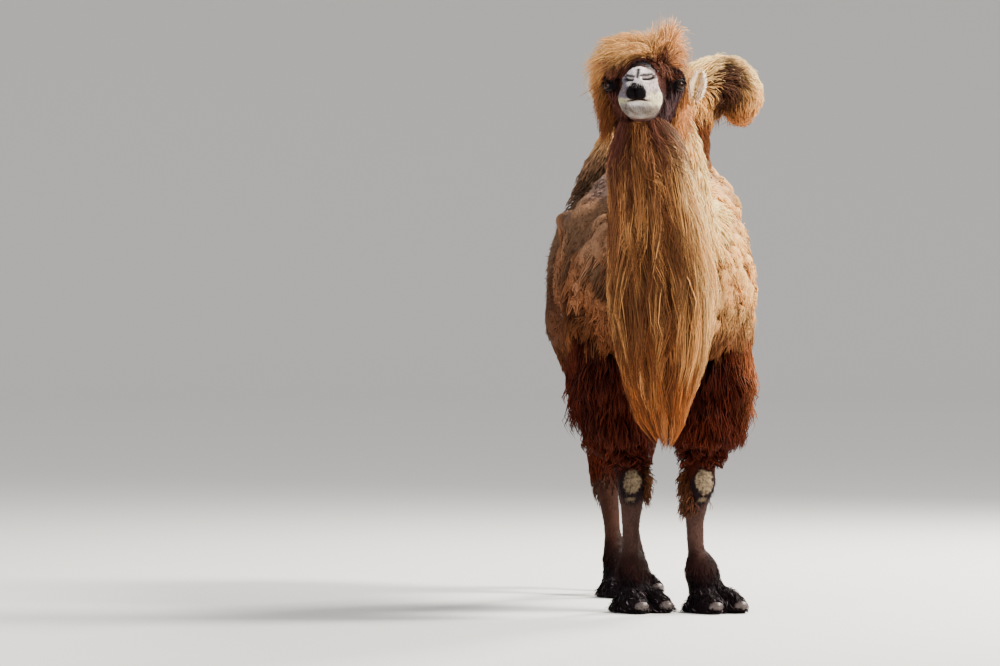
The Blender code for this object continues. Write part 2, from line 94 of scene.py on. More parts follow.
NECK = [
    (0.0, 0.06, 1.28, 0.23, 0.24), (0.0, -0.13, 1.19, 0.205, 0.22),
    (-0.02, -0.31, 1.15, 0.160, 0.175), (-0.045, -0.45, 1.21, 0.130, 0.145),
    (-0.065, -0.520, 1.34, 0.115, 0.125), (-0.09, -0.540, 1.50, 0.105, 0.112),
    (-0.11, -0.535, 1.65, 0.100, 0.105), (-0.125, -0.515, 1.79, 0.095, 0.100),
    (-0.13, -0.50, 1.88, 0.075, 0.08),
]
MANE = [
    (0.02, -0.10, 1.40, 0.17, 0.14), (0.005, -0.27, 1.345, 0.150, 0.15), (-0.01, -0.385, 1.44, 0.125, 0.13),
    (-0.02, -0.435, 1.61, 0.105, 0.09), (-0.06, -0.45, 1.75, 0.09, 0.07),
]
HUMP_FRONT = [
    (0.03, 0.24, 1.46, 0.24, 0.21), (0.045, 0.25, 1.60, 0.20, 0.165),
    (0.09, 0.26, 1.74, 0.155, 0.112), (0.150, 0.27, 1.855, 0.125, 0.080),
    (0.225, 0.285, 1.925, 0.115, 0.078), (0.300, 0.295, 1.930, 0.105, 0.078),
    (0.345, 0.30, 1.885, 0.085, 0.055), (0.345, 0.30, 1.84, 0.04, 0.03),
]
HUMP_REAR = [
    (0.0, 0.87, 1.44, 0.245, 0.225), (0.0, 0.87, 1.58, 0.20, 0.165), (0.005, 0.88, 1.70, 0.150, 0.108),
    (0.01, 0.885, 1.80, 0.095, 0.066), (0.018, 0.89, 1.86, 0.045, 0.03),
]
TAIL = [
    (0.0, 1.20, 1.40, 0.045, 0.045), (0.0, 1.30, 1.38, 0.038, 0.038), (0.0, 1.365, 1.28, 0.026, 0.024),
    (0.0, 1.392, 1.14, 0.020, 0.018), (0.0, 1.398, 1.00, 0.017, 0.015), (0.0, 1.395, 0.92, 0.010, 0.010),
]
LEGS = {
    "foreleg_right": [
        (-0.17, 0.05, 1.34, 0.10, 0.11), (-0.195, 0.02, 1.16, 0.130, 0.145),
        (-0.20, 0.0, 0.98, 0.120, 0.145), (-0.190, 0.0, 0.86, 0.100, 0.120),
        (-0.168, 0.0, 0.74, 0.080, 0.096), (-0.142, -0.01, 0.63, 0.062, 0.078),
        (-0.118, -0.020, 0.54, 0.052, 0.062), (-0.107, -0.028, 0.465, 0.052, 0.061),
        (-0.103, -0.017, 0.395, 0.041, 0.047), (-0.103, 0.0, 0.32, 0.032, 0.036),
        (-0.102, 0.003, 0.22, 0.031, 0.036), (-0.097, -0.002, 0.155, 0.059, 0.058),
        (-0.094, -0.018, 0.095, 0.056, 0.060), (-0.090, -0.04, 0.04, 0.07, 0.07),
    ],
    "foreleg_left": [
        (0.175, 0.03, 1.34, 0.10, 0.11), (0.200, 0.0, 1.16, 0.130, 0.145),
        (0.204, -0.02, 0.98, 0.120, 0.145), (0.198, -0.025, 0.86, 0.100, 0.120),
        (0.186, -0.03, 0.74, 0.080, 0.096), (0.165, -0.04, 0.63, 0.062, 0.078),
        (0.146, -0.050, 0.54, 0.052, 0.062), (0.139, -0.058, 0.465, 0.052, 0.061),
        (0.131, -0.047, 0.395, 0.041, 0.047), (0.127, -0.03, 0.32, 0.032, 0.036),
        (0.133, -0.032, 0.22, 0.031, 0.036), (0.149, -0.041, 0.155, 0.059, 0.058),
        (0.160, -0.060, 0.095, 0.056, 0.060), (0.174, -0.08, 0.04, 0.07, 0.07),
    ],
    "hindleg_right": [
        (-0.14, 1.00, 1.32, 0.10, 0.15), (-0.158, 0.99, 1.16, 0.115, 0.195),
        (-0.148, 0.965, 1.00, 0.108, 0.178), (-0.128, 0.945, 0.86, 0.086, 0.138),
        (-0.106, 0.955, 0.74, 0.068, 0.100), (-0.086, 0.99, 0.62, 0.053, 0.072),
        (-0.071, 1.035, 0.51, 0.046, 0.064), (-0.061, 1.045, 0.43, 0.043, 0.054),
        (-0.050, 1.01, 0.35, 0.034, 0.042), (-0.043, 0.965, 0.24, 0.030, 0.035),
        (-0.038, 0.925, 0.145, 0.047, 0.051), (-0.036, 0.895, 0.095, 0.048, 0.053),
        (-0.034, 0.87, 0.04, 0.060, 0.062),
    ],
    "hindleg_left": [
        (0.14, 1.02, 1.32, 0.10, 0.15), (0.158, 1.03, 1.16, 0.115, 0.195),
        (0.150, 1.04, 1.00, 0.108, 0.178), (0.134, 1.06, 0.86, 0.086, 0.138),
        (0.117, 1.11, 0.74, 0.068, 0.100), (0.100, 1.18, 0.62, 0.053, 0.072),
        (0.087, 1.255, 0.51, 0.046, 0.064), (0.080, 1.285, 0.43, 0.043, 0.054),
        (0.074, 1.27, 0.35, 0.034, 0.042), (0.068, 1.245, 0.24, 0.030, 0.035),
        (0.066, 1.22, 0.145, 0.047, 0.051), (0.066, 1.195, 0.095, 0.048, 0.053),
        (0.066, 1.17, 0.04, 0.060, 0.062),
    ],
}
# Head sections and ovals in head axes
SKULL = [
    (0, -0.20, -0.010, 0.07, 0.08), (0, -0.15, -0.008, 0.088, 0.106), (0, -0.09, -0.015, 0.098, 0.118),
    (0, -0.02, -0.010, 0.096, 0.112), (0, 0.05, -0.004, 0.080, 0.094), (0, 0.12, -0.008, 0.062, 0.082),
    (0, 0.18, -0.012, 0.052, 0.073), (0, 0.235, -0.014, 0.045, 0.063), (0, 0.268, -0.020, 0.040, 0.055),
    (0, 0.288, -0.024, 0.030, 0.038),
]
LIPS = [(0, 0.13, -0.052, 0.048, 0.036), (0, 0.19, -0.054, 0.062, 0.035), (0, 0.24, -0.056, 0.070, 0.034),
        (0, 0.270, -0.055, 0.063, 0.032), (0, 0.290, -0.050, 0.042, 0.020)]
LOWER_JAW = [(0, -0.13, -0.085, 0.070, 0.060), (0, -0.02, -0.090, 0.058, 0.050),
             (0, 0.08, -0.086, 0.050, 0.040), (0, 0.17, -0.086, 0.060, 0.048),
             (0, 0.230, -0.079, 0.069, 0.052), (0, 0.258, -0.079, 0.060, 0.048),
             (0, 0.277, -0.080, 0.040, 0.032)]
HEAD_OVALS = [
    ((0.104, -0.004, 0.008), (0.034, 0.046, 0.036)),       # orbit over each eye
    ((0.028, 0.236, 0.004), (0.021, 0.036, 0.024)),        # nose wing
    ((0.032, 0.236, -0.024), (0.026, 0.042, 0.030)),       # side of the upper lip
    ((0.066, -0.090, -0.050), (0.044, 0.080, 0.066)),      # cheek muscle
    ((0.0, -0.065, 0.055), (0.082, 0.105, 0.052)),         # skull roof
]
# Feet: x, y of the pad, size against a forefoot
FEET = {
    "foreleg_right": (-0.088, -0.045, 1.0), "foreleg_left": (0.177, -0.085, 1.0),
    "hindleg_right": (-0.034, 0.860, 0.86), "hindleg_left": (0.066, 1.165, 0.86),
}
FOOT_TURN = math.radians(22)
TOE_SIDE = 0.052
BEARD = [
    (-0.165, -0.70, 1.76, 0.070, 0.055), (-0.14, -0.665, 1.65, 0.130, 0.097),
    (-0.115, -0.65, 1.50, 0.158, 0.122), (-0.088, -0.615, 1.34, 0.178, 0.142),
    (-0.072, -0.575, 1.18, 0.195, 0.152), (-0.065, -0.54, 1.02, 0.180, 0.137),
    (-0.064, -0.51, 0.89, 0.149, 0.112), (-0.063, -0.485, 0.77, 0.108, 0.083),
    (-0.050, -0.46, 0.68, 0.072, 0.053), (-0.038, -0.445, 0.60, 0.020, 0.018),
]
KNEES = {"foreleg_right": (-0.110, -0.088, 0.474), "foreleg_left": (0.148, -0.117, 0.474)}
KNEE_PAD = np.array((0.033, 0.04, 0.046))
# Tufts of longer hair beside each knee: middle and half sizes
KNEE_FRINGES = {
    "foreleg_right": ((-0.070, -0.010, 0.475), (0.055, 0.055, 0.055)),
    "foreleg_left": ((0.110, -0.040, 0.445), (0.055, 0.055, 0.075)),
}
# Woolly lumps: where they may lie on the trunk, how far apart, and their least and greatest radius
LUMP_LOW, LUMP_HIGH = (-0.38, -0.34, 0.96), (0.38, 0.60, 1.56)
LUMP_TRIES = 1900
LUMP_SPACING = 0.058
LUMP_SIZE = (0.030, 0.055)
# Grid that the skin is meshed on
GRID_STEP = 0.0125
GRID_LOW = (-0.42, -1.06, -3.0 * GRID_STEP)
GRID_HIGH = (0.46, 1.46, 2.04)


def foot_point(leg, sideways, forward, height):
    """A point of a foot: sideways to the camel's left and forward along the toes."""
    x, y, size = FEET[leg]
    sine, cosine = math.sin(FOOT_TURN), math.cos(FOOT_TURN)
    return np.array((x + size * (sideways * cosine + forward * sine),
                     y + size * (sideways * sine - forward * cosine), height * size))


# ---------------------------------------------------------------- the smooth body field
def eased(rows, steps):
    """Pass a Catmull-Rom curve through the rows, with so many steps a span."""
    rows = np.array(rows, float)
    padded = np.vstack([2 * rows[0] - rows[1], rows, 2 * rows[-1] - rows[-2]])
    points = []
    for a, b, c, d in zip(padded, padded[1:], padded[2:], padded[3:]):
        for t in np.arange(steps) / steps:
            points.append(0.5 * (2 * b + (c - a) * t + (2 * a - 5 * b + 4 * c - d) * t ** 2
                                 + (3 * b - a - 3 * c + d) * t ** 3))
    points.append(rows[-1])
    return np.array(points)


def ramp(low, high, value):
    """Smooth step from 0 at low to 1 at high."""
    share = np.clip((value - low) / (high - low), 0.0, 1.0)
    return share * share * (3.0 - 2.0 * share)


def smooth_noise(points, size, seed):
    """Cheap smooth noise, about -1 to 1, from turned sine waves."""
    rng = np.random.default_rng(seed)
    total = np.zeros(len(points))
    for _ in range(7):
        wave = rng.normal(size=3)
        wave *= rng.uniform(0.6, 1.6) * 2 * math.pi / size / np.linalg.norm(wave)
        total += np.sin(points @ wave + rng.uniform(0, 2 * math.pi))
    return total / 3.2


def region_mask(region, *names):
    """1 where the region is one of the names."""
    return np.isin(region, [REGIONS.index(n) for n in names]).astype(float)


def woolliness(points):
    """How far the coat stands in woolly clumps: all over the left shoulder, in torn felts on the right."""
    hem = 1.00 + 0.045 * smooth_noise(points, 0.16, 41)
    front = ramp(0.62, 0.20, points[:, 1]) * ramp(hem - 0.03, hem + 0.03, points[:, 2])
    torn = ramp(-0.15, 0.10, smooth_noise(points, 0.30, 42))
    return front * np.maximum(ramp(-0.06, 0.10, points[:, 0]), 0.85 * torn)


class Limb:
    """A chain of oval cone sections; its field is below 0 inside."""

    def __init__(self, rows, blend, side=(1.0, 0.0, 0.0), head=False, steps=3):
        points = eased(rows, steps)
        path = from_head(points[:, :3]) if head else points[:, :3]
        side = LEFT if head else np.array(side)
        self.parts = []
        for a, b, ra, rb in zip(path, path[1:], points[:, 3:], points[1:, 3:]):
            length = np.linalg.norm(b - a)
            along = (b - a) / length
            across = side - side @ along * along
            across /= np.linalg.norm(across)
            self.parts.append((a, along, length, across, np.cross(along, across), ra, rb))
        reach = points[:, 3:].max(axis=1)[:, None]
        self.low, self.high = (path - reach).min(axis=0), (path + reach).max(axis=0)
        self.blend = blend

    def distance(self, points):
        best = np.full(len(points), 9.0)
        for start, along, length, across, up, ra, rb in self.parts:
            away = points - start
            run = away @ along
            share = np.clip(run / length, 0.0, 1.0)
            width = ra[0] + (rb[0] - ra[0]) * share
            depth = ra[1] + (rb[1] - ra[1]) * share
            least = np.minimum(width, depth)
            past = (run - share * length) / least
            spread = np.sqrt((away @ across / width) ** 2 + (away @ up / depth) ** 2 + past ** 2)
            best = np.minimum(best, (spread - 1.0) * least)
        return best


class Oval:
    """An ellipsoid with its own axes."""

    def __init__(self, centre, halves, blend, axes=None):
        self.centre, self.halves = np.asarray(centre, float), np.asarray(halves, float)
        self.axes = np.eye(3) if axes is None else np.asarray(axes, float)
        self.blend = blend
        reach = self.halves.max()
        self.low, self.high = self.centre - reach, self.centre + reach

    def distance(self, points):
        local = (points - self.centre) @ self.axes.T
        return (np.linalg.norm(local / self.halves, axis=1) - 1.0) * self.halves.min()


def foot_axes():
    """Sideways, forward and up directions of the feet."""
    sine, cosine = math.sin(FOOT_TURN), math.cos(FOOT_TURN)
    return np.array(((cosine, sine, 0.0), (sine, -cosine, 0.0), (0.0, 0.0, 1.0)))


def body_shapes():
    """Every shape of the flesh, by region."""
    shapes = {"trunk": [Limb(TRUNK, 0.05), Limb(SHOULDERS, 0.06)],
              "neck": [Limb(NECK, 0.06), Limb(MANE, 0.05)],
              "hump_front": [Limb(HUMP_FRONT, 0.07, side=(0, 1, 0))],
              "hump_rear": [Limb(HUMP_REAR, 0.07, side=(0, 1, 0))],
              "tail": [Limb(TAIL, 0.03)]}
    for leg, rows in LEGS.items():
        size = FEET[leg][2]
        shapes[leg] = [Limb(rows, 0.05)]
        shapes[leg].append(Oval(foot_point(leg, 0, 0, 0.010), np.array((0.099, 0.107, 0.046)) * size, 0.03,
                                foot_axes()))
        for sign in (1, -1):
            shapes[leg].append(Oval(foot_point(leg, sign * TOE_SIDE, 0.070, 0.020),
                                    np.array((0.042, 0.070, 0.044)) * size, 0.010, foot_axes()))
            shapes[leg].append(Oval(foot_point(leg, sign * TOE_SIDE * 0.85, 0.045, 0.056),
                                    np.array((0.034, 0.050, 0.034)) * size, 0.016, foot_axes()))
    for knee in KNEES:
        shapes[knee].append(Oval(np.array(KNEES[knee]) + (0, 0.022, 0), (0.040, 0.024, 0.052), 0.02))
    head_axes = np.array((LEFT, FORWARD, UP))
    shapes["head"] = [Limb(SKULL, 0.05, head=True), Limb(LOWER_JAW, 0.035, head=True),
                      Limb(LIPS, 0.020, head=True)]
    for centre, halves in HEAD_OVALS:
        for sign in (1, -1) if centre[0] else (1,):
            place = from_head((sign * centre[0], centre[1], centre[2]))
            shapes["head"].append(Oval(place, halves, 0.022, head_axes))
    return shapes


SHAPES = body_shapes()
REGIONS = list(SHAPES)
SOLE = 0.0006
SOLE_BLEND = 0.006


def blended(a, b, width):
    """Smooth union of two fields."""
    share = np.clip(0.5 + 0.5 * (b - a) / width, 0.0, 1.0)
    return b + (a - b) * share - width * share * (1.0 - share)


def body_field(points, margin=0.06):
    """The whole body's field: below 0 inside, cut flat at the soles."""
    total = np.full(len(points), 1.0)
    for shapes in SHAPES.values():
        for shape in shapes:
            near = np.nonzero(((points > shape.low - margin)
                               & (points < shape.high + margin)).all(axis=1))[0]
            if len(near):
                total[near] = blended(total[near], shape.distance(points[near]), shape.blend)
    return -blended(-total, -(SOLE - points[:, 2]), SOLE_BLEND)


def region_of(points):
    """Index of the nearest region at each point."""
    best, found = np.full(len(points), 8.0), np.zeros(len(points), int)
    for number, shapes in enumerate(SHAPES.values()):
        for shape in shapes:
            away = shape.distance(points)
            closer = away < best
            best[closer], found[closer] = away[closer], number
    return found


def gradient(points, step=0.001):
    """Uphill direction of the body field, and the field itself."""
    here = body_field(points)
    slope = np.stack([body_field(points + np.eye(3)[axis] * step) - here for axis in range(3)], 1) / step
    return slope, here


def settle(points, rounds=3, longest=0.006):
    """Move points onto the body's surface."""
    for _ in range(rounds):
        slope, here = gradient(points)
        size = np.maximum((slope ** 2).sum(axis=1), 0.05)
        move = -slope * (here / size)[:, None]
        reach = np.maximum(np.linalg.norm(move, axis=1) / longest, 1.0)
        points = points + move / reach[:, None]
    return points


# ---------------------------------------------------------------- meshing
def lump_middles():
    """Middles of the woolly lumps, spread over the front of the trunk."""
    rng = np.random.default_rng(43)
    tries = settle(rng.uniform(LUMP_LOW, LUMP_HIGH, (LUMP_TRIES, 3)), rounds=12, longest=0.05)
    tries = tries[(np.abs(body_field(tries)) < 0.002) & (woolliness(tries) > 0.3)]
    kept = []
    for point in tries:
        if all(np.linalg.norm(point - other) > LUMP_SPACING for other in kept):
            kept.append(point)
    return np.array(kept)


def lumps(points, middles):
    """Share of the way from the nearest lump's middle to its edge, and that lump."""
    sizes = np.random.default_rng(44).uniform(*LUMP_SIZE, len(middles))
    points = points + 0.014 * np.stack([smooth_noise(points, 0.07, seed) for seed in (51, 52, 53)], 1)
    best, owner = np.full(len(points), 9.0), np.zeros(len(points), int)
    for number, (middle, size) in enumerate(zip(middles, sizes)):
        share = np.linalg.norm((points - middle) * (1.0, 1.0, 0.80), axis=1) / size
        closer = share < best
        best[closer], owner[closer] = share[closer], number
    return best, owner


def lump_height(points):
    """Relief of the woolly lumps, 0 to 1."""
    share, owner = lumps(points, LUMPS)
    bulk = np.random.default_rng(45).uniform(0.30, 1.0, len(LUMPS))[owner]
    ragged = share + 0.16 * smooth_noise(points, 0.03, 50)
    relief = np.sqrt(np.clip(1.0 - ragged ** 2, 0.0, 1.0)) * bulk
    felted = ramp(0.1, 0.9, smooth_noise(points, 0.16, 54))
    return np.maximum(relief, np.where(points[:, 0] > 0, 0.45, 0.75) * felted) * woolliness(points)


LUMPS = lump_middles()


def surface_net(step):
    """Mesh the body field on a grid: points and triangles."""
    low, high = np.array(GRID_LOW), np.array(GRID_HIGH)
    counts = np.ceil((high - low) / step).astype(int) + 1
    axes = [low[i] + step * np.arange(counts[i]) for i in range(3)]
    grid = np.stack(np.meshgrid(*axes, indexing="ij"), -1).reshape(-1, 3)
    values = body_field(grid).reshape(counts)
    del grid
    inside = values < 0
    corner = [(i, j, k) for i in (0, 1) for j in (0, 1) for k in (0, 1)]

    def view(array, offset):
        return array[tuple(slice(o, n - 1 + o) for o, n in zip(offset, counts))]
    filled = sum(view(inside, c).astype(np.int8) for c in corner)
    cells = np.argwhere((filled > 0) & (filled < 8))
    number = np.full(tuple(counts - 1), -1, int)
    number[tuple(cells.T)] = np.arange(len(cells))
    total, hits = np.zeros((len(cells), 3)), np.zeros(len(cells))
    for a in corner:
        for axis in range(3):
            if a[axis]:
                continue
            b = tuple(c + (i == axis) for i, c in enumerate(a))
            va = values[tuple((cells + a).T)]
            vb = values[tuple((cells + b).T)]
            crossing = (va < 0) != (vb < 0)
            share = np.where(crossing, va / np.where(crossing, va - vb, 1.0), 0.0)
            place = np.array(a, float)[None] + np.eye(3)[axis] * share[:, None]
            total += np.where(crossing[:, None], place, 0.0)
            hits += crossing
    points = low + step * (cells + total / hits[:, None])
    quads = []
    for axis in range(3):
        other = [i for i in range(3) if i != axis]
        ahead = [slice(1, -1)] * 3
        ahead[axis] = slice(0, -1)
        behind = list(ahead)
        behind[axis] = slice(1, None)
        first, second = inside[tuple(ahead)], inside[tuple(behind)]
        edges = np.argwhere(first != second)
        start = edges + [0 if i == axis else 1 for i in range(3)]
        leaving = first[tuple(edges.T)]
        ring = []
        for du, dv in ((-1, -1), (0, -1), (0, 0), (-1, 0)):
            cell = start.copy()
            cell[:, other[0]] += du
            cell[:, other[1]] += dv
            ring.append(number[tuple(cell.T)])
        ring = np.stack(ring, 1)
        flip = leaving if axis != 1 else ~leaving
        ring[~flip] = ring[~flip][:, ::-1]
        quads.append(ring)
    quads = np.vstack(quads)
    return points, np.vstack([quads[:, [0, 1, 2]], quads[:, [0, 2, 3]]])


def split(points, triangles, chosen):
    """Halve every edge whose two ends are chosen; neighbours are split to match."""
    sides = np.sort(triangles[:, [0, 1, 1, 2, 2, 0]].reshape(-1, 2), axis=1)
    keys, back = np.unique(sides[:, 0] * len(points) + sides[:, 1], return_inverse=True)
    ends = np.stack([keys // len(points), keys % len(points)], 1)
    cut = chosen[ends].all(axis=1)
    fresh = np.full(len(keys), -1)
    fresh[cut] = len(points) + np.arange(cut.sum())
    points = np.vstack([points, points[ends[cut]].mean(axis=1)])
    middle = fresh[back].reshape(-1, 3)
    has = middle >= 0
    count = has.sum(axis=1)
    made = [triangles[count == 0]]
    t, m = triangles[count == 3], middle[count == 3]
    for corners in ((t[:, 0], m[:, 0], m[:, 2]), (m[:, 0], t[:, 1], m[:, 1]), (m[:, 2], m[:, 1], t[:, 2]),
                    (m[:, 0], m[:, 1], m[:, 2])):
        made.append(np.stack(corners, 1))
    for wanted, first in ((1, lambda h: np.argmax(h, axis=1)),
                          (2, lambda h: (np.argmin(h, axis=1) + 1) % 3)):
        t, m, h = triangles[count == wanted], middle[count == wanted], has[count == wanted]
        turn = (first(h)[:, None] + np.arange(3)) % 3
        t, m = np.take_along_axis(t, turn, 1), np.take_along_axis(m, turn, 1)
        if wanted == 1:
            made += [np.stack((t[:, 0], m[:, 0], t[:, 2]), 1), np.stack((m[:, 0], t[:, 1], t[:, 2]), 1)]
        else:
            made += [np.stack((m[:, 0], t[:, 1], m[:, 1]), 1), np.stack((t[:, 0], m[:, 0], m[:, 1]), 1),
                     np.stack((t[:, 0], m[:, 1], t[:, 2]), 1)]
    return points, np.vstack(made)


def vertex_normals(points, triangles):
    """Area-weighted vertex normals."""
    a, b, c = (points[triangles[:, i]] for i in range(3))
    face = np.cross(b - a, c - a)
    normals = np.zeros_like(points)
    for corner in range(3):
        for axis in range(3):
            normals[:, axis] += np.bincount(triangles[:, corner], face[:, axis], len(points))
    return normals / np.maximum(np.linalg.norm(normals, axis=1), 1e-12)[:, None]


# ---------------------------------------------------------------- sculpting the skin
def line_distance(points, line):
    """Distance from points to a polyline."""
    best = np.full(len(points), 9.0)
    for a, b in zip(np.array(line, float), np.array(line, float)[1:]):
        along = b - a
        share = np.clip((points - a) @ along / (along @ along), 0.0, 1.0)
        best = np.minimum(best, np.linalg.norm(points - a - share[:, None] * along, axis=1))
    return best


def on_face(line, pieces=4):
    """Lay a line given in head axes on the face, finely divided."""
    line = np.array(line, float)
    fine = [a + (b - a) * step / pieces for a, b in zip(line, line[1:]) for step in range(pieces)]
    return to_head(settle(from_head(np.array(fine + [line[-1]])), rounds=8, longest=0.01))


def both_sides(line, middle=0.0):
    """A line of the face and its mirror image about a middle."""
    return [on_face(line), on_face([(2 * middle - u, v, w) for u, v, w in line])]


NOSE_MIDDLE = -0.005
PATCH_MIDDLE, PATCH_HALF = (-0.010, -0.043), (0.037, 0.030)
MOUTH = both_sides([(0.058, 0.100, -0.084), (0.068, 0.150, -0.084), (0.078, 0.200, -0.080),
                    (0.082, 0.240, -0.075), (0.070, 0.276, -0.073), (0.045, 0.296, -0.074),
                    (0.020, 0.303, -0.071), (0.0, 0.304, -0.067)])
NOSTRIL = both_sides([(0.055, 0.264, 0.012), (0.046, 0.280, 0.006), (0.034, 0.290, 0.001),
                      (0.020, 0.298, -0.001), (0.010, 0.302, -0.003)], NOSE_MIDDLE)
NOSE_FOLD = both_sides([(0.057, 0.256, 0.025), (0.042, 0.274, 0.021), (0.026, 0.288, 0.015),
                        (0.004, 0.298, 0.006)], NOSE_MIDDLE)
LIP_FOLD = both_sides([(0.060, 0.215, 0.012), (0.066, 0.240, -0.010), (0.062, 0.272, -0.030),
                       (0.050, 0.292, -0.048)])
PHILTRUM = [on_face([(PATCH_MIDDLE[0], 0.304, -0.034), (PATCH_MIDDLE[0], 0.305, -0.050),
                     (-0.008, 0.304, -0.070)])]
NOSE_CREASE = [on_face([(NOSE_MIDDLE, 0.276, 0.036), (NOSE_MIDDLE, 0.290, 0.018),
                        (NOSE_MIDDLE, 0.300, 0.002)])]


def line_set_distance(points, lines):
    """Distance from points to the nearest of some lines."""
    return np.minimum.reduce([line_distance(points, line) for line in lines])


def in_patch(local):
    """How far out points are in the dark patch of the upper lip: 1 on its edge."""
    u, w = local[:, 0] - PATCH_MIDDLE[0], local[:, 2] - PATCH_MIDDLE[1]
    u = u / (PATCH_HALF[0] * (1 - 0.10 * np.clip(w / PATCH_HALF[1], -1, 1)))
    return (np.abs(u) ** 2.6 + np.abs(w / PATCH_HALF[1]) ** 2.6) ** (1 / 2.6) + 9.0 * (local[:, 1] < 0.25)


def lip_middle(local):
    """1 at the middle of the lips, where the mouth's line is deep, falling to 0 at their sides."""
    return ramp(0.052, 0.024, np.abs(local[:, 0] + 0.005)) * ramp(0.24, 0.27, local[:, 1])


def sculpt_muzzle(points, normals):
    """Cut the mouth, the closed nostrils and the split upper lip, and swell what lies round them."""
    local = to_head(points)
    near = np.nonzero((local[:, 1] > 0.08) & (np.abs(local[:, 0]) < 0.12) & (np.abs(local[:, 2]) < 0.16))[0]
    face = local[near]
    lift = np.zeros(len(near))
    for lines, depth, width, swell, away, spread in (
            (NOSTRIL, 0.0110, 0.0042, 0.0060, 0.0120, 0.005),
            (NOSE_FOLD, 0.0068, 0.0052, 0.0, 0.01, 0.01), (LIP_FOLD, 0.0022, 0.0055, 0.0, 0.01, 0.01),
            (PHILTRUM, 0.0085, 0.0040, 0.0, 0.01, 0.01), (NOSE_CREASE, 0.0045, 0.0055, 0.0, 0.01, 0.01)):
        off = line_set_distance(face, lines)
        lift += swell * np.exp(-((off - away) / spread) ** 2) - depth * np.exp(-(off / width) ** 2)
    off = line_set_distance(face, MOUTH)
    lift -= ((0.0004 + 0.0093 * lip_middle(face))
             * np.exp(-(off / (0.0032 + 0.0020 * (1 - lip_middle(face)))) ** 2))
    for side in (-0.018, 0.018):
        lobe = np.hypot(face[:, 0] - PATCH_MIDDLE[0] - side, face[:, 2] - PATCH_MIDDLE[1] + 0.004)
        lift += 0.0048 * np.exp(-(lobe / 0.014) ** 2) * (face[:, 1] > 0.25)
    for side in (-1, 1):
        jowl = np.linalg.norm(face - (side * 0.062, 0.268, -0.046), axis=1)
        lift += 0.0030 * np.exp(-(jowl / 0.020) ** 2)
    lift += (0.0012 * smooth_noise(face, 0.022, 6) + 0.0006 * smooth_noise(face, 0.008, 5)
             * ramp(0.18, 0.25, face[:, 1]))
    points[near] += normals[near] * lift[:, None]


EYE_AXIS = np.array((0.80, 0.60, 0.02))
EYE_AXIS /= np.linalg.norm(EYE_AXIS)
LID_HALF = (0.0195, 0.0132)
LID_REACH = 0.075
SINK = 0.006        # how far the skin under the open lids lies inside the eyeball


def eye_frame(sign):
    """Centre of an eye and its axes: towards the nose, up, out, in the camel's axes."""
    centre = from_head(EYE_PLACE * (sign, 1, 1))
    outward = EYE_AXIS * (sign, 1, 1)
    outward = outward[0] * LEFT + outward[1] * FORWARD + outward[2] * UP
    nosewards = FORWARD - FORWARD @ outward * outward
    nosewards /= np.linalg.norm(nosewards)
    up = np.cross(outward, nosewards) * (1 if np.cross(outward, nosewards)[2] > 0 else -1)
    return centre, nosewards, up, outward


def lid_oval(points, sign):
    """How far out points lie round an eye's opening: 1 on the lids' edge."""
    centre, nosewards, up, outward = eye_frame(sign)
    aim = (points - centre) / np.linalg.norm(points - centre, axis=1)[:, None] * EYE_RADIUS
    oval = np.hypot(aim @ nosewards / LID_HALF[0], (aim @ up - 0.001) / LID_HALF[1])
    return np.where(aim @ outward > 0.15 * EYE_RADIUS, oval, 3.0)


def sculpt_lids(points):
    """Shape thick lids over each eyeball, open in an almond."""
    for sign in (1, -1):
        centre, _, up, outward = eye_frame(sign)
        away = points - centre
        near = np.nonzero((np.linalg.norm(away, axis=1) < LID_REACH) & (away @ outward > -0.004))[0]
        arm, oval = away[near], lid_oval(points[near], sign)
        reach = np.linalg.norm(arm, axis=1)
        rim = EYE_RADIUS + 0.0030 + 0.0020 * ramp(-0.004, 0.006, arm @ up)
        wanted = np.where(oval < 1.0, EYE_RADIUS - SINK + (rim - EYE_RADIUS + SINK) * ramp(0.80, 1.0, oval),
                          rim)
        weight = np.maximum((1.0 - ramp(1.10, 1.7, oval)) * 0.85, 1.0 - ramp(0.98, 1.12, oval))
        fresh = reach + (wanted - reach) * weight
        fresh -= 0.0022 * np.exp(-((oval - 1.45) / 0.10) ** 2) + 0.0014 * np.exp(-((oval - 1.9) / 0.12) ** 2)
        points[near] = centre + arm / reach[:, None] * fresh[:, None]


# Middles and sizes: right shoulder's corner of wool, haunch, left shoulder's edge, flat of the left side
SWELLINGS = (
    ((-0.36, 0.20, 1.42), (0.12, 0.26, 0.048)), ((-0.36, 0.95, 1.03), (0.14, 0.30, 0.13)),
    ((0.25, 0.12, 1.50), (0.11, 0.22, 0.070)), ((0.36, 0.20, 1.26), (0.14, 0.45, 0.13)),
)


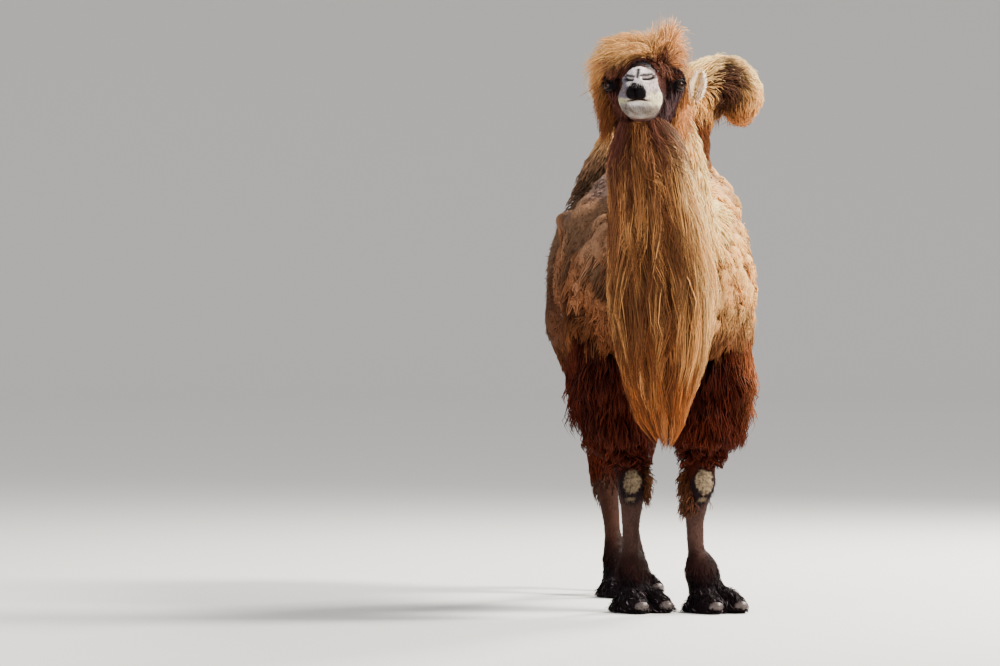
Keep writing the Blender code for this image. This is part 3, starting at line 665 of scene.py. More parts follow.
def sculpt_body(points, normals, region):
    """Muscle, wrinkle and wool relief over the body."""
    lift = np.zeros(len(points))
    on_trunk = region_mask(region, "trunk", "neck", "hump_front", "hump_rear")
    lift += on_trunk * 0.038 * lump_height(points)
    lift += on_trunk * (0.005 * smooth_noise(points, 0.20, 12) + 0.002 * smooth_noise(points, 0.06, 16))
    corner, haunch, edge, flat = (np.exp(-(((points - middle) / size) ** 2).sum(axis=1))
                                  for middle, size in SWELLINGS)
    lift += on_trunk * (0.050 * corner + 0.022 * edge - 0.012 * flat) + 0.040 * haunch
    points[:, 0] += on_trunk * (0.026 * edge - 0.045 * corner) - 0.018 * haunch
    for knee in KNEES.values():
        away = np.linalg.norm((points - knee) / KNEE_PAD, axis=1)
        lift += (0.0045 + 0.0022 * smooth_noise(points, 0.013, 13)) * ramp(1.25, 0.9, away)
    legs = region_mask(region, *LEGS)
    tendon = legs * ramp(0.42, 0.36, points[:, 2]) * ramp(0.12, 0.2, points[:, 2])
    lift += tendon * 0.0016 * smooth_noise(points * (1, 1, 0.2), 0.022, 14)
    toes = legs * ramp(0.11, 0.08, points[:, 2]) * ramp(0.006, 0.02, points[:, 2])
    lift += toes * 0.0022 * smooth_noise(points, 0.018, 15)
    points += normals * lift[:, None]


def make_skin():
    """The whole skin: points, triangles, vertex normals, region numbers, and points before sculpting."""
    points, triangles = surface_net(GRID_STEP)
    points = settle(points, rounds=2, longest=0.004)
    eyes = [from_head(EYE_PLACE * (s, 1, 1)) for s in (1, -1)]
    for level in range(3):
        local = to_head(points)
        chosen = ((local[:, 1] > (-0.10, -0.06, 0.150)[level]) & (local[:, 1] < 0.4)
                  & (np.abs(local[:, 2]) < 0.19))
        chosen &= np.abs(local[:, 0]) < 0.2
        for eye in eyes:
            chosen |= np.linalg.norm(points - eye, axis=1) < (0.075, 0.060, 0.048)[level]
        if level < 2:
            chosen |= points[:, 2] < (0.16, 0.075)[level]
            for knee in KNEES.values():
                chosen |= np.linalg.norm(points - knee, axis=1) < (0.075, 0.055)[level]
        points, triangles = split(points, triangles, chosen)
        points = settle(points, rounds=2)
    region = region_of(points)
    normals = vertex_normals(points, triangles)
    rest = points.copy()
    sculpt_body(points, normals, region)
    sculpt_muzzle(points, normals)
    sculpt_lids(points)
    points[:, 2] = np.maximum(points[:, 2], 0.0004)
    return points, triangles, vertex_normals(points, triangles), region, rest


# ---------------------------------------------------------------- markings (linear colours)
TAUPE = np.array((0.225, 0.118, 0.064))
BROWN = np.array((0.250, 0.094, 0.038))
RUST = np.array((0.190, 0.062, 0.022))
SAND = np.array((0.760, 0.415, 0.140))
GOLD = np.array((0.450, 0.190, 0.066))
AMBER = np.array((0.420, 0.140, 0.030))
CREAM = np.array((0.950, 0.630, 0.275))
DARK_FACE = np.array((0.044, 0.014, 0.010))
MAHOGANY = np.array((0.036, 0.0055, 0.0016))
SHANK = np.array((0.056, 0.028, 0.022))
BLACKISH = np.array((0.0055, 0.0025, 0.0035))
PALE_NOSE = np.array((0.900, 0.800, 0.775))
LIP_CREAM = np.array((0.850, 0.750, 0.490))
BEARD_SHADE = np.array((0.97, 0.93, 1.02))
BEARD_SUN = np.array((1.12, 1.14, 1.20))
CHIN_GREY = np.array((0.208, 0.160, 0.122))
PAD = np.array((0.250, 0.180, 0.110))
HUMP_SHADE = np.array((0.050, 0.018, 0.013))
NOSE_BLACK = np.array((0.0045, 0.0028, 0.0038))
BARE_HIDE = np.array((0.300, 0.205, 0.175))
ROSY_SHEEN = np.array((0.150, 0.088, 0.095))
MUZZLE_SUN = np.array((0.330, 0.250, 0.225))
MUZZLE_WARM_SHADE = np.array((0.340, 0.250, 0.235))
MUZZLE_BLUE_SHADE = np.array((0.140, 0.118, 0.155))
LIP_SHADE = np.array((0.128, 0.108, 0.136))
JOWL_SHEEN = np.array((0.150, 0.112, 0.130))
CHEEK_SHEEN = np.array((0.095, 0.062, 0.066))
FOOT_GREY_GLINT = np.array((0.13, 0.10, 0.11))
LASH = np.array((0.020, 0.011, 0.008))
EAR_TUFT = np.array((0.95, 0.80, 0.62))
EYE_BROWN, IRIS, PUPIL = np.array(((0.018, 0.009, 0.007), (0.026, 0.010, 0.004), (0.002, 0.0015, 0.0015)))
NAIL_DARK, NAIL_PALE = (0.030, 0.020, 0.018, 1.0), (0.080, 0.057, 0.052, 1.0)
# Middle and size of the flopped hump's hollow, where painted shade darkens its dark brown hair
HUMP_HOLLOW, HOLLOW_SIZE = np.array((0.264, 0.180, 1.928)), (0.070, 0.15, 0.084)

PALEST = 0.95           # greatest value of a channel of the skin's and the coat's colours
UNDERCOAT_SHADE = 0.85        # the skin is painted this much darker than the coat over it, as shade between the tufts


def mix(first, second, share):
    """Blend two colours by a share for each point."""
    return first + (second - first) * np.asarray(share)[:, None]


def plain(colour, points):
    """One colour for each point."""
    return np.tile(colour, (len(points), 1))


def markings(points, region):
    """Colour of skin and coat at each point, with some painted light and shade."""
    x, y, z = points.T
    patch = smooth_noise(points, 0.24, 31)
    blotch = smooth_noise(points, 0.075, 32)
    leftness = ramp(-0.06, 0.16, x + 0.04 * patch)
    wool = woolliness(points)
    # felted wool, sandy on the left side, where its paleness is partly painted sunlight, over the darker new
    # coat where it's shed
    felt = mix(mix(TAUPE * 1.25, BROWN, ramp(1.42, 1.22, z + 0.07 * patch)), RUST * 1.15,
               ramp(1.22, 1.02, z + 0.07 * patch))
    felt = mix(felt, SAND, leftness * ramp(0.92, 1.18, z + 0.06 * patch))
    shed = mix(TAUPE * 0.66, RUST * 0.45, ramp(1.36, 1.08, z + 0.07 * patch))
    tone = mix(shed, felt, np.maximum(wool, leftness * 0.7))
    tone = mix(tone, RUST * 0.40, ramp(0.55, 0.95, blotch) * (1 - 0.6 * leftness) * 0.5)
    tone = mix(tone, BROWN * 2.0, ramp(0.0, 0.9, blotch) * leftness * 0.45)
    # painted highlight on the lumps' tops and painted rust-brown shade in their grooves
    relief = lump_height(points) / np.maximum(wool, 0.2) - 0.12 * leftness
    tone = mix(tone * (0.88 + 0.26 * relief)[:, None], RUST * 0.6,
               ramp(0.50, 0.12, relief) * wool * (0.85 - 0.30 * leftness))
    hem = z - 0.045 * smooth_noise(points, 0.16, 41)
    tone = mix(mix(tone, RUST * 0.62, ramp(1.15, 0.98, hem) * 0.85), MAHOGANY, ramp(0.99, 0.86, hem) * 0.95)
    # neck: gold, paler and creamier to the left, partly painted sunlight, and taupe at the withers' right,
    # partly painted shade
    neck = region_mask(region, "neck")
    across = x + 0.065 + 0.12 * np.clip(z - 1.3, 0.0, 0.5) + 0.02 * patch
    sunny = mix(mix(GOLD * 0.8, SAND * 1.15, np.maximum(leftness, ramp(-0.02, 0.05, across))), CREAM,
                ramp(0.03, 0.10, across) * 0.8)
    neck_tone = mix(sunny, TAUPE * 0.9, ramp(0.0, -0.14, x + 0.03 * patch) * ramp(-0.36, -0.14, y))
    tone = mix(tone, neck_tone, neck * ramp(-0.06, -0.24, y))
    # humps: pale crests, partly painted sunlight, and painted shade over dark brown hair in the flopped one's
    # hollow
    front = region_mask(region, "hump_front")
    hollow = np.linalg.norm((points - HUMP_HOLLOW) / HOLLOW_SIZE, axis=1)
    hump_tone = mix(mix(SAND * 1.1, GOLD * 0.85, ramp(0.20, 0.30, x) * ramp(1.93, 1.84, z)), CREAM,
                    ramp(1.88, 1.97, z))
    hump_tone = mix(hump_tone, RUST * 0.9, ramp(1.88, 1.80, z) * ramp(0.34, 0.24, x))
    hump_tone = mix(hump_tone, HUMP_SHADE, ramp(1.30, 0.7, hollow) * 0.97)
    tone = mix(tone, hump_tone, front * ramp(1.56, 1.72, z))
    slope = (ramp(0.02, -0.06, x) * ramp(-0.12, 0.02, y) * ramp(0.36, 0.24, y) * ramp(1.46, 1.54, z)
             * ramp(1.80, 1.70, z))
    tone = mix(tone, BARE_HIDE, slope * 0.65)
    rear = region_mask(region, "hump_rear")
    tone = mix(tone, mix(TAUPE, SAND, ramp(1.68, 1.86, z)), rear * ramp(1.56, 1.70, z))
    # legs: mahogany above, taupe-brown shanks, nearly black feet
    fore = region_mask(region, "foreleg_left", "foreleg_right")
    tone = mix(tone, MAHOGANY, fore * ramp(0.99, 0.86, hem))
    hind = region_mask(region, "hindleg_left", "hindleg_right")
    tone = mix(tone, mix(BROWN * 0.45, MAHOGANY * 1.3, ramp(1.1, 0.8, z)),
               hind * ramp(1.24, 0.98, z + 0.05 * patch))
    # painted shade on the right flank and on the right shoulder's outer edge, low down
    tone = mix(tone, RUST * 0.35,
               np.maximum(ramp(-0.20, -0.30, x) * ramp(0.32, 0.60, y),
                          ramp(-0.335, -0.365, x) * ramp(-0.05, 0.10, y))
               * ramp(1.28, 1.12, z + 0.05 * patch) * 0.85)
    legs = fore + hind
    tone = mix(tone, SHANK, legs * ramp(0.49, 0.42, z + 0.01 * blotch))
    tone = mix(tone, SHANK * (0.80, 0.62, 0.50), hind * ramp(0.49, 0.42, z + 0.01 * blotch))
    tone = mix(tone, SHANK * (0.26, 0.17, 0.17), legs * ramp(0.265, 0.185, z + 0.012 * blotch))
    tone = mix(tone, BLACKISH, legs * ramp(0.165, 0.100, z + 0.012 * blotch))
    tone = mix(tone, MAHOGANY * 0.9, region_mask(region, "tail") * ramp(1.38, 1.2, z))
    # bare knee pads with a dark rim and a crescent below; the right knee's pad is painted darker, as shade
    for knee in KNEES.values():
        ragged = 0.10 * smooth_noise(points, 0.022, 37) + 0.07 * smooth_noise(points, 0.009, 38)
        away = np.linalg.norm((points - knee) / KNEE_PAD, axis=1) + ragged
        below = np.linalg.norm((points - knee + (0, 0, 0.022)) / KNEE_PAD, axis=1) + ragged
        tone = mix(tone, BLACKISH * 1.8, legs * ramp(1.75, 1.35, below))
        pad = PAD * (0.62 if knee[0] < 0 else 0.95)
        worn = mix(plain(pad, points), pad * 0.5, ramp(0.0, 0.8, smooth_noise(points, 0.012, 39)))
        tone = mix(tone, worn, legs * ramp(1.05, 0.80, away))
        crescent = (np.linalg.norm((points - knee + (0.005, 0, 0.064)) / (0.020, 0.06, 0.007), axis=1)
                    + ragged)
        tone = mix(tone, pad * 0.8, legs * ramp(1.2, 0.7, crescent))
    tone = tone * (1.0 + 0.17 * patch + 0.13 * blotch)[:, None]
    return np.clip(mix(tone, face_markings(points), region_mask(region, "head")), 0.002, PALEST)


def face_markings(points):
    """Colours of the head."""
    local = to_head(points)
    u, v, w = local.T
    grain = smooth_noise(points, 0.03, 33)
    tone = plain(DARK_FACE, points)
    tone = mix(tone, DARK_FACE * 2.4, ramp(0.10, 0.17, v) * ramp(0.045, 0.0, w) * 0.8)
    tone = mix(tone, NOSE_BLACK * 1.3, ramp(0.030, 0.055, w) * ramp(0.24, 0.20, v) * ramp(-0.05, 0.0, v))
    tone = mix(tone, SHANK * 1.9, ramp(0.02, 0.10, v) * ramp(-0.03, -0.08, w) * (0.5 + 0.3 * grain))
    crown = np.maximum(ramp(0.062, 0.090, w - 0.12 * ramp(-0.03, 0.03, v)), ramp(-0.11, -0.16, v))
    tone = mix(tone, mix(GOLD * 0.7, RUST * 0.6, ramp(0.08, -0.06, w)), crown)
    # the pale nose: its rear edge, and its half width as a dome over the nostrils
    rear = 0.224 + 0.014 * ramp(0.028, 0.048, w) - 0.030 * ramp(0.025, -0.015, w)
    dome = 0.052 * np.sqrt(np.clip(1 - (np.maximum(w, 0) / 0.048) ** 2, 0, 1))
    within = ramp(0.007, -0.007, np.abs(u - NOSE_MIDDLE) - dome + 0.003 * grain + 0.2 * (w < 0.004))
    within = np.where(w < 0.004, 1.0, within)
    # rosy skin beside the pale dome, with painted sheen that is stronger on the left
    rosy_sheen = (ramp(0.030, 0.0, np.abs(u - NOSE_MIDDLE) - dome) * ramp(0.14, 0.20, v) * ramp(-0.03, 0.0, w)
            * ramp(0.040, 0.025, w))
    tone = mix(tone, ROSY_SHEEN, rosy_sheen * (0.35 + 0.35 * ramp(-0.02, 0.03, u)))
    ridge = ramp(0.026, 0.042, w)
    tone = mix(tone, PALE_NOSE, ramp(-0.010, 0.024, (v + 0.008 * grain - rear) * (1 + 3 * ridge)) * within)
    # painted shade on the muzzle's sides and along the pale nose's rear edge, heavier and bluish on its right
    # side
    low = ramp(0.030, 0.0, w)
    shade = np.maximum(ramp(0.045, 0.005, v - rear) * (1 - ridge),
                       ramp(0.024, 0.044, np.abs(u - NOSE_MIDDLE)) * low)
    side_shade = mix(plain(MUZZLE_WARM_SHADE, points), MUZZLE_BLUE_SHADE, ramp(0.0, -0.02, u))
    tone = mix(tone, side_shade, shade * within * ramp(rear - 0.01, rear + 0.01, v)
               * (0.65 + 0.3 * ramp(0.0, -0.02, u)))
    # lilac-grey jowls: painted sheen on their dark hair, stronger on the left
    jowl = (ramp(0.03, 0.09, v) * ramp(0.25, 0.20, v) * ramp(-0.02, -0.06, w)
            * (0.35 + 0.4 * ramp(0.0, 0.05, u)))
    tone = mix(tone, JOWL_SHEEN, jowl)
    mouth = line_set_distance(local, MOUTH)
    above = ramp(-0.100, -0.080, w)
    tone = mix(tone, LIP_SHADE, ramp(-0.030, -0.052, u) * ramp(0.004, 0.014, mouth) * ramp(0.02, -0.01, w)
               * ramp(rear, rear + 0.02, v) * 0.85)
    tone = mix(tone, MUZZLE_SUN, ramp(0.004, 0.030, u) * ramp(0.0, 0.012, w)
               * ramp(rear, rear + 0.02, v) * 0.6)
    # cream lips, painted darker on their right side as shade, and a grizzled chin
    band = 0.006 + 0.018 * ramp(-0.01, 0.03, u)
    cream = mix(plain(LIP_CREAM, points), LIP_CREAM * (0.45, 0.46, 0.42), ramp(-0.02, -0.05, u))
    tone = mix(tone, cream, ramp(band + 0.010, band - 0.002, mouth + 0.002 * grain)
               * ramp(0.17, 0.22, v) * above * (1 - 0.5 * lip_middle(local)))
    chin = ramp(-0.074, -0.100, w) * ramp(0.13, 0.20, v)
    speck = ramp(0.3, 0.9, smooth_noise(points, 0.0075, 36))
    middle = ramp(-0.130, -0.110, w) * ramp(0.066, 0.030, np.abs(u + 0.01))
    chin_tone = mix(mix(CHIN_GREY * 0.95, CHIN_GREY * 0.55, middle), CHIN_GREY * 0.22, speck * 0.55)
    chin_tone = mix(chin_tone, cream * 0.9,
                    ramp(0.030, 0.006, mouth) * ramp(0.030, 0.062, np.abs(u + 0.005)) * 0.85)
    tone = mix(tone, chin_tone, chin * (0.9 + 0.1 * grain))
    # the chin's underside is painted darker, as shade
    tone = mix(tone, DARK_FACE * 1.5, ramp(-0.118, -0.134, w) * ramp(0.245, 0.225, v))
    # painted shade in the nose folds and crease, the lip folds, the nostril slits and the mouth's line, and
    # the lip's dark patch with its pale flecks
    folds = np.minimum(line_set_distance(local, NOSE_FOLD), line_set_distance(local, NOSE_CREASE))
    tone = mix(tone, NOSE_BLACK * 4, ramp(0.0100, 0.0025, folds + 0.0012 * grain) * 0.92)
    tone = mix(tone, CHIN_GREY * 0.9, ramp(0.010, 0.003, line_set_distance(local, LIP_FOLD))
               * ramp(0.2, 0.23, v) * 0.6)
    fleck = smooth_noise(points, 0.0045, 34) * ramp(-0.050, -0.028, w)
    tone = mix(tone, NOSE_BLACK, ramp(1.12, 0.84, in_patch(local) + 0.05 * grain + 0.12 * fleck))
    tone = mix(tone, PALE_NOSE * 0.7, ramp(0.40, 0.9, fleck) * ramp(-0.034, -0.020, w)
               * ramp(1.2, 1.0, in_patch(local)) * 0.7)
    tone = mix(tone, NOSE_BLACK * 2, ramp(0.0075, 0.0020, line_set_distance(local, NOSTRIL)) * 0.93)
    tone = mix(tone, DARK_FACE, ramp(0.0058, 0.0014, mouth) * ramp(0.10, 0.14, v)
               * (0.08 + 0.92 * lip_middle(local)))
    # black skin round each eye, partly painted shade
    for sign in (1, -1):
        away = np.linalg.norm((local - EYE_PLACE * (sign, 1, 1)) / (1.0, 1.0, 1.25), axis=1)
        tone = mix(tone, NOSE_BLACK, ramp(0.062, 0.038, away))
    return tone


# ---------------------------------------------------------------- meshes and materials
def write_mesh(name, points, faces, tint=None, lock=None, uv=None):
    """Make an object from points and triangles, with a colour, lock coordinates and a map."""
    mesh = bpy.data.meshes.new(name)
    mesh.vertices.add(len(points))
    mesh.vertices.foreach_set("co", (points + ORIGIN).astype(np.float32).ravel())
    mesh.loops.add(faces.size)
    mesh.loops.foreach_set("vertex_index", faces.astype(np.int32).ravel())
    mesh.polygons.add(len(faces))
    mesh.polygons.foreach_set("loop_start", np.arange(0, faces.size, 3, dtype=np.int32))
    mesh.update(calc_edges=True)
    mesh.shade_smooth()
    if tint is not None:
        layer = mesh.attributes.new("tint", "FLOAT_COLOR", "POINT")
        layer.data.foreach_set("color",
                               np.hstack([tint, np.ones((len(tint), 1))]).astype(np.float32).ravel())
    if lock is not None:
        layer = mesh.attributes.new("lock", "FLOAT_VECTOR", "POINT")
        layer.data.foreach_set("vector", lock.astype(np.float32).ravel())
    if uv is not None:
        layer = mesh.uv_layers.new(name="OFBake")
        layer.data.foreach_set("uv", uv[faces.ravel()].astype(np.float32).ravel())
    mesh.validate()
    obj = bpy.data.objects.new(name, mesh)
    bpy.context.scene.collection.objects.link(obj)
    return obj


def new_material(name, specular=None):
    """A node material: the material, its nodes, links and shader."""
    made = bpy.data.materials.new(name)
    made.use_nodes = True
    tree = made.node_tree
    shader = tree.nodes["Principled BSDF"]
    if specular is not None:
        shader.inputs["Specular IOR Level"].default_value = specular
    return made, tree.nodes, tree.links, shader


def add_node(nodes, kind, operation=None, **inputs):
    """A shader node with inputs set by name, where an underscore stands for a space."""
    made = nodes.new("ShaderNode" + kind)
    if operation:
        made.operation = operation
    for name, value in inputs.items():
        made.inputs[name.replace("_", " ")].default_value = value
    return made


def read_attribute(nodes, name):
    """A node that reads one of the mesh's attributes."""
    made = nodes.new("ShaderNodeAttribute")
    made.attribute_name = name
    return made


def wire(links, *pairs):
    """Link sockets two by two."""
    for source, target in pairs:
        links.new(source, target)


SKIN_SPECULAR, HAIR_SPECULAR, EYE_SPECULAR = 0.05, 0.06, 0.15
LYING_HAIR = (1.0, 0.8, 0.28)           # stretch of the skin's grain along its short hair
STRAND_STRETCH = (97.0, 5.0, 1.6)       # strands from lock to lock, across a lock and along it


def skin_material():
    """Bare and short-furred hide: markings under a fine grain of lying hair, pores and creases."""
    made, nodes, links, shader = new_material("hide", SKIN_SPECULAR)
    tint = read_attribute(nodes, "tint")
    place = add_node(nodes, "NewGeometry")
    lying = add_node(nodes, "VectorMath", "MULTIPLY")
    lying.inputs[1].default_value = LYING_HAIR
    grain = add_node(nodes, "TexNoise", Scale=300.0, Detail=5.0)
    shade = add_node(nodes, "MapRange", From_Min=0.3, From_Max=0.7, To_Min=0.55, To_Max=1.30)
    colour = add_node(nodes, "VectorMath", "SCALE")
    pores = add_node(nodes, "TexVoronoi", Scale=260.0)
    height = add_node(nodes, "Math", "MULTIPLY_ADD")
    height.inputs[1].default_value = 0.5
    bump = add_node(nodes, "Bump", Strength=0.7, Distance=0.0014)
    rough = add_node(nodes, "MapRange", To_Min=0.50, To_Max=0.80)
    wire(links, (place.outputs["Position"], lying.inputs[0]),
         (lying.outputs["Vector"], grain.inputs["Vector"]), (grain.outputs["Fac"], shade.inputs["Value"]),
         (tint.outputs["Color"], colour.inputs[0]), (shade.outputs["Result"], colour.inputs["Scale"]),
         (colour.outputs["Vector"], shader.inputs["Base Color"]),
         (place.outputs["Position"], pores.inputs["Vector"]), (pores.outputs["Distance"], height.inputs[0]),
         (grain.outputs["Fac"], height.inputs[2]), (height.outputs["Value"], bump.inputs["Height"]),
         (bump.outputs["Normal"], shader.inputs["Normal"]), (grain.outputs["Fac"], rough.inputs["Value"]),
         (rough.outputs["Result"], shader.inputs["Roughness"]))
    return made


def hair_material(name, roughness, contrast):
    """Hair: the tuft's own colour, broken into strands across and along each lock."""
    made, nodes, links, shader = new_material(name, HAIR_SPECULAR)
    tint, lock = read_attribute(nodes, "tint"), read_attribute(nodes, "lock")
    stretch = add_node(nodes, "VectorMath", "MULTIPLY")
    stretch.inputs[1].default_value = STRAND_STRETCH
    strands = add_node(nodes, "TexNoise", Scale=1.0, Detail=3.0)
    shade = add_node(nodes, "MapRange", From_Min=0.25, From_Max=0.75, To_Min=1.0 - contrast,
                     To_Max=1.0 + contrast)
    colour = add_node(nodes, "VectorMath", "SCALE")
    rough = add_node(nodes, "MapRange", To_Min=roughness - 0.12, To_Max=roughness + 0.12)
    bump = add_node(nodes, "Bump", Strength=0.4, Distance=0.0010)
    wire(links, (lock.outputs["Vector"], stretch.inputs[0]),
         (stretch.outputs["Vector"], strands.inputs["Vector"]),
         (strands.outputs["Fac"], shade.inputs["Value"]), (tint.outputs["Color"], colour.inputs[0]),
         (shade.outputs["Result"], colour.inputs["Scale"]),
         (colour.outputs["Vector"], shader.inputs["Base Color"]),
         (strands.outputs["Fac"], rough.inputs["Value"]),
         (rough.outputs["Result"], shader.inputs["Roughness"]),
         (strands.outputs["Fac"], bump.inputs["Height"]), (bump.outputs["Normal"], shader.inputs["Normal"]))
    return made


def ball_faces(rows, sides):
    """Triangles of rings of points, closed by two end points that come after the rings' own."""
    number = np.arange(rows * sides).reshape(rows, sides)
    a, b = number[:-1], number[1:]
    c, d = np.roll(a, -1, 1), np.roll(b, -1, 1)
    first, last = rows * sides, rows * sides + 1
    return np.vstack([np.stack([a, b, d], -1).reshape(-1, 3), np.stack([a, d, c], -1).reshape(-1, 3),
                      np.stack([number[0], np.roll(number[0], -1), np.full(sides, first)], 1),
                      np.stack([np.roll(number[-1], -1), number[-1], np.full(sides, last)], 1)])


# ---------------------------------------------------------------- the coat
def unit(vectors):
    """Vectors of length 1."""
    return vectors / np.maximum(np.linalg.norm(vectors, axis=1), 1e-9)[:, None]


class Skin:
    """The skin's arrays, and random roots on it."""

    def __init__(self, points, triangles, normals, region, rest):
        self.points, self.triangles, self.normals = points, triangles, normals
        self.region, self.rest = region, rest
        corners = points[triangles]
        self.middle = rest[triangles].mean(axis=1)
        self.area = (np.linalg.norm(np.cross(corners[:, 1] - corners[:, 0], corners[:, 2] - corners[:, 0]),
                                    axis=1) / 2)
        self.face_region = region[triangles[:, 0]]
        self.slope = unit(normals[triangles].sum(axis=1))

    def roots(self, count, density, seed):
        """Scatter roots by a density for each triangle: places, normals, regions, places before sculpting."""
        rng = np.random.default_rng(seed)
        weight = self.area * density
        total = np.cumsum(weight)
        picks = (np.arange(count) + rng.uniform(0, 1, count)) / count * total[-1]
        faces = np.searchsorted(total, picks)
        faces = np.minimum(faces, len(total) - 1)
        a, b = rng.uniform(0, 1, (2, count))
        over = a + b > 1
        a[over], b[over] = 1 - a[over], 1 - b[over]
        corner = self.triangles[faces]
        share = np.stack([1 - a - b, a, b], 1)[:, :, None]
        places = (self.points[corner] * share).sum(axis=1)
        normals = unit((self.normals[corner] * share).sum(axis=1))
        return places, normals, self.face_region[faces], (self.rest[corner] * share).sum(axis=1), rng


def clump(spine, rng, count, pull, reach):
    """Draw the tips of neighbouring tufts towards their clump's leading tip; also gives each tuft's clump."""
    roots, tips = spine[:, 0], spine[:, -1]
    leads = rng.choice(len(roots), count, replace=False)
    tree = kdtree.KDTree(count)
    for number, lead in enumerate(leads):
        tree.insert(roots[lead], number)
    tree.balance()
    owner = np.array([tree.find(root)[1] for root in roots])
    drift = tips[leads[owner]] - tips
    size = np.linalg.norm(drift, axis=1)
    drift *= (pull * np.minimum(1.0, reach / np.maximum(size, 1e-9)))[:, None]
    shares = np.linspace(0, 1, spine.shape[1]) ** 1.4
    return spine + drift[:, None, :] * shares[None, :, None], owner


ROOT_SINK = 0.0015          # how far a tuft's root lies under the skin


def comb(roots, normals, lay, length, height, rng, rings=3, stray=0.25, hold=0.5, arch=2.2, droop=0.15,
         wave=0.0, clumps=None):
    """Spines combed over the body: from a sunken root they follow the lie and reach a height above the skin.

    hold draws a spine back to its height where the body falls away from it; arch is how soon it is that high,
    and droop how much its tip sinks. clumps is their count, their pull and the pull's reach in metres.
    Returns spines and clump numbers."""
    offset = rng.normal(0, stray, (len(roots), 3))
    phase = rng.uniform(0, 2 * math.pi, len(roots))
    spine, place, steep = [roots - normals * ROOT_SINK], roots.copy(), normals
    for ring in range(1, rings + 1):
        aim = unit(lay(place))
        inward = np.minimum((aim * steep).sum(axis=1), 0.0)
        aim = unit(unit(aim - inward[:, None] * steep) + offset)
        side = np.cross(aim, steep)
        place = place + aim * (length / rings)[:, None]
        if wave:
            place = place + side * (wave * np.sin(phase + 2.2 * ring))[:, None]
        slope, here = gradient(place)
        steep = unit(slope)
        share = ring / rings
        short = height * (1 - (1 - share) ** arch) * (1 - droop * share ** 3) - here
        place = place + steep * np.clip(np.where(short > 0, short, hold * short), -0.03, 0.06)[:, None]
        place[:, 2] = np.maximum(place[:, 2], 0.003)
        spine.append(place)
    spine = np.stack(spine, 1)
    return clump(spine, rng, *clumps) if clumps else (spine, np.arange(len(roots)))


# Width of a lock ring by ring from its root, as a share of its greatest
TUFT_PROFILE = np.array([0.85, 1.0, 0.75, 0.55, 0.4, 0.3, 0.22, 0.2])


def tuft_mesh(spine, normals, width, profile=None, thickness=0.45):
    """Closed three-sided tapering locks round the spines: points, faces, lock coordinates."""
    count, rows, _ = spine.shape
    rings = rows - 1
    if profile is None:
        profile = TUFT_PROFILE[:rings]
    tangent = np.gradient(spine, axis=1)
    tangent /= np.maximum(np.linalg.norm(tangent, axis=2), 1e-9)[:, :, None]
    side = np.cross(tangent, normals[:, None, :])
    side /= np.maximum(np.linalg.norm(side, axis=2), 1e-9)[:, :, None]
    top = np.cross(side, tangent)
    points = np.empty((count, rings * 3 + 1, 3))
    lock = np.empty((count, rings * 3 + 1, 2))
    for ring in range(rings):
        half = (width * profile[ring] / 2)[:, None]
        centre, across, above = spine[:, ring], side[:, ring], top[:, ring]
        points[:, ring * 3] = centre - across * half - above * half * thickness * 0.5
        points[:, ring * 3 + 1] = centre + above * half * thickness * 1.6
        points[:, ring * 3 + 2] = centre + across * half - above * half * thickness * 0.5
        lock[:, ring * 3:ring * 3 + 3, 0] = (0.0, 0.5, 1.0)
        lock[:, ring * 3:ring * 3 + 3, 1] = ring / rings
    points[:, -1] = spine[:, -1]
    lock[:, -1] = (0.5, 1.0)
    faces = [(0, 1, 2)]
    for ring in range(rings - 1):
        for a in range(3):
            b = (a + 1) % 3
            low, high = ring * 3, ring * 3 + 3
            faces += [(low + a, high + a, high + b), (low + a, high + b, low + b)]
    last = (rings - 1) * 3
    for a in range(3):
        faces.append((last + a, rings * 3, last + (a + 1) % 3))
    faces = np.array(faces)
    shift = (np.arange(count) * (rings * 3 + 1))[:, None, None]
    return points.reshape(-1, 3), (faces[None] + shift).reshape(-1, 3), lock


TUFT_PATCH = 0.003


def coat_piece(name, spine, normals, width, tone, rng, material, root_dark=0.55, tip_light=1.3, vary=0.16,
               thickness=0.45, profile=None, axis=2, owner=None, group=None):
    """Turn spines into one coat object, coloured tuft by tuft and clump by clump, with its map."""
    points, faces, lock = tuft_mesh(spine, normals, width, profile, thickness)
    count, per = lock.shape[:2]
    share = lock[:, :, 1]
    change = rng.normal(0, vary, count)
    if owner is not None:
        change = change + rng.normal(0, 0.13, count)[owner]
    bright = np.exp(change)[:, None] * (root_dark + (tip_light - root_dark) * share ** 0.7)
    warm = rng.normal(0, 0.05, count)[:, None]
    tint = tone[:, None, :] * bright[:, :, None]
    tint[:, :, 0] *= 1 + warm
    tint[:, :, 2] *= 1 - warm
    tint /= np.maximum(tint.max(axis=2, keepdims=True) / PALEST, 1.0)
    coords = np.concatenate([np.repeat(rng.uniform(0, 1, count)[:, None, None], per, 1), lock], 2)
    roots, group = spine[:, 0], np.zeros(count, int) if group is None else group
    groups = group.max() + 1
    other = [i for i in range(3) if i != axis]
    place = np.empty((count, 2))
    for number in range(groups):
        own = group == number
        away = roots[own] - roots[own].mean(axis=0)
        turn = np.arctan2(away[:, other[1]], away[:, other[0]]) / (2 * math.pi) + 0.5
        run = (away[:, axis] - away[:, axis].min()) / (np.ptp(away[:, axis]) + 1e-6)
        place[own] = np.stack([(number + 0.01 + 0.98 * turn) / groups, run], 1)
    uv = (place * (1 - 2 * TUFT_PATCH) + TUFT_PATCH)[:, None, :] + (lock - 0.5) * TUFT_PATCH
    obj = write_mesh(name, points, faces, np.clip(tint, 0.001, PALEST).reshape(-1, 3), coords.reshape(-1, 3),
                     uv.reshape(-1, 2))
    obj.data.materials.append(material)
    return obj


def along_path(rows, points, reach):
    """The run of a limb's path near each point."""
    path = eased(rows, 4)[:, :3]
    run = unit(np.gradient(path, axis=0))
    weight = np.exp(-((points[:, None, :] - path[None]) ** 2).sum(axis=2) / reach ** 2)
    return unit(weight @ run + 1e-9)


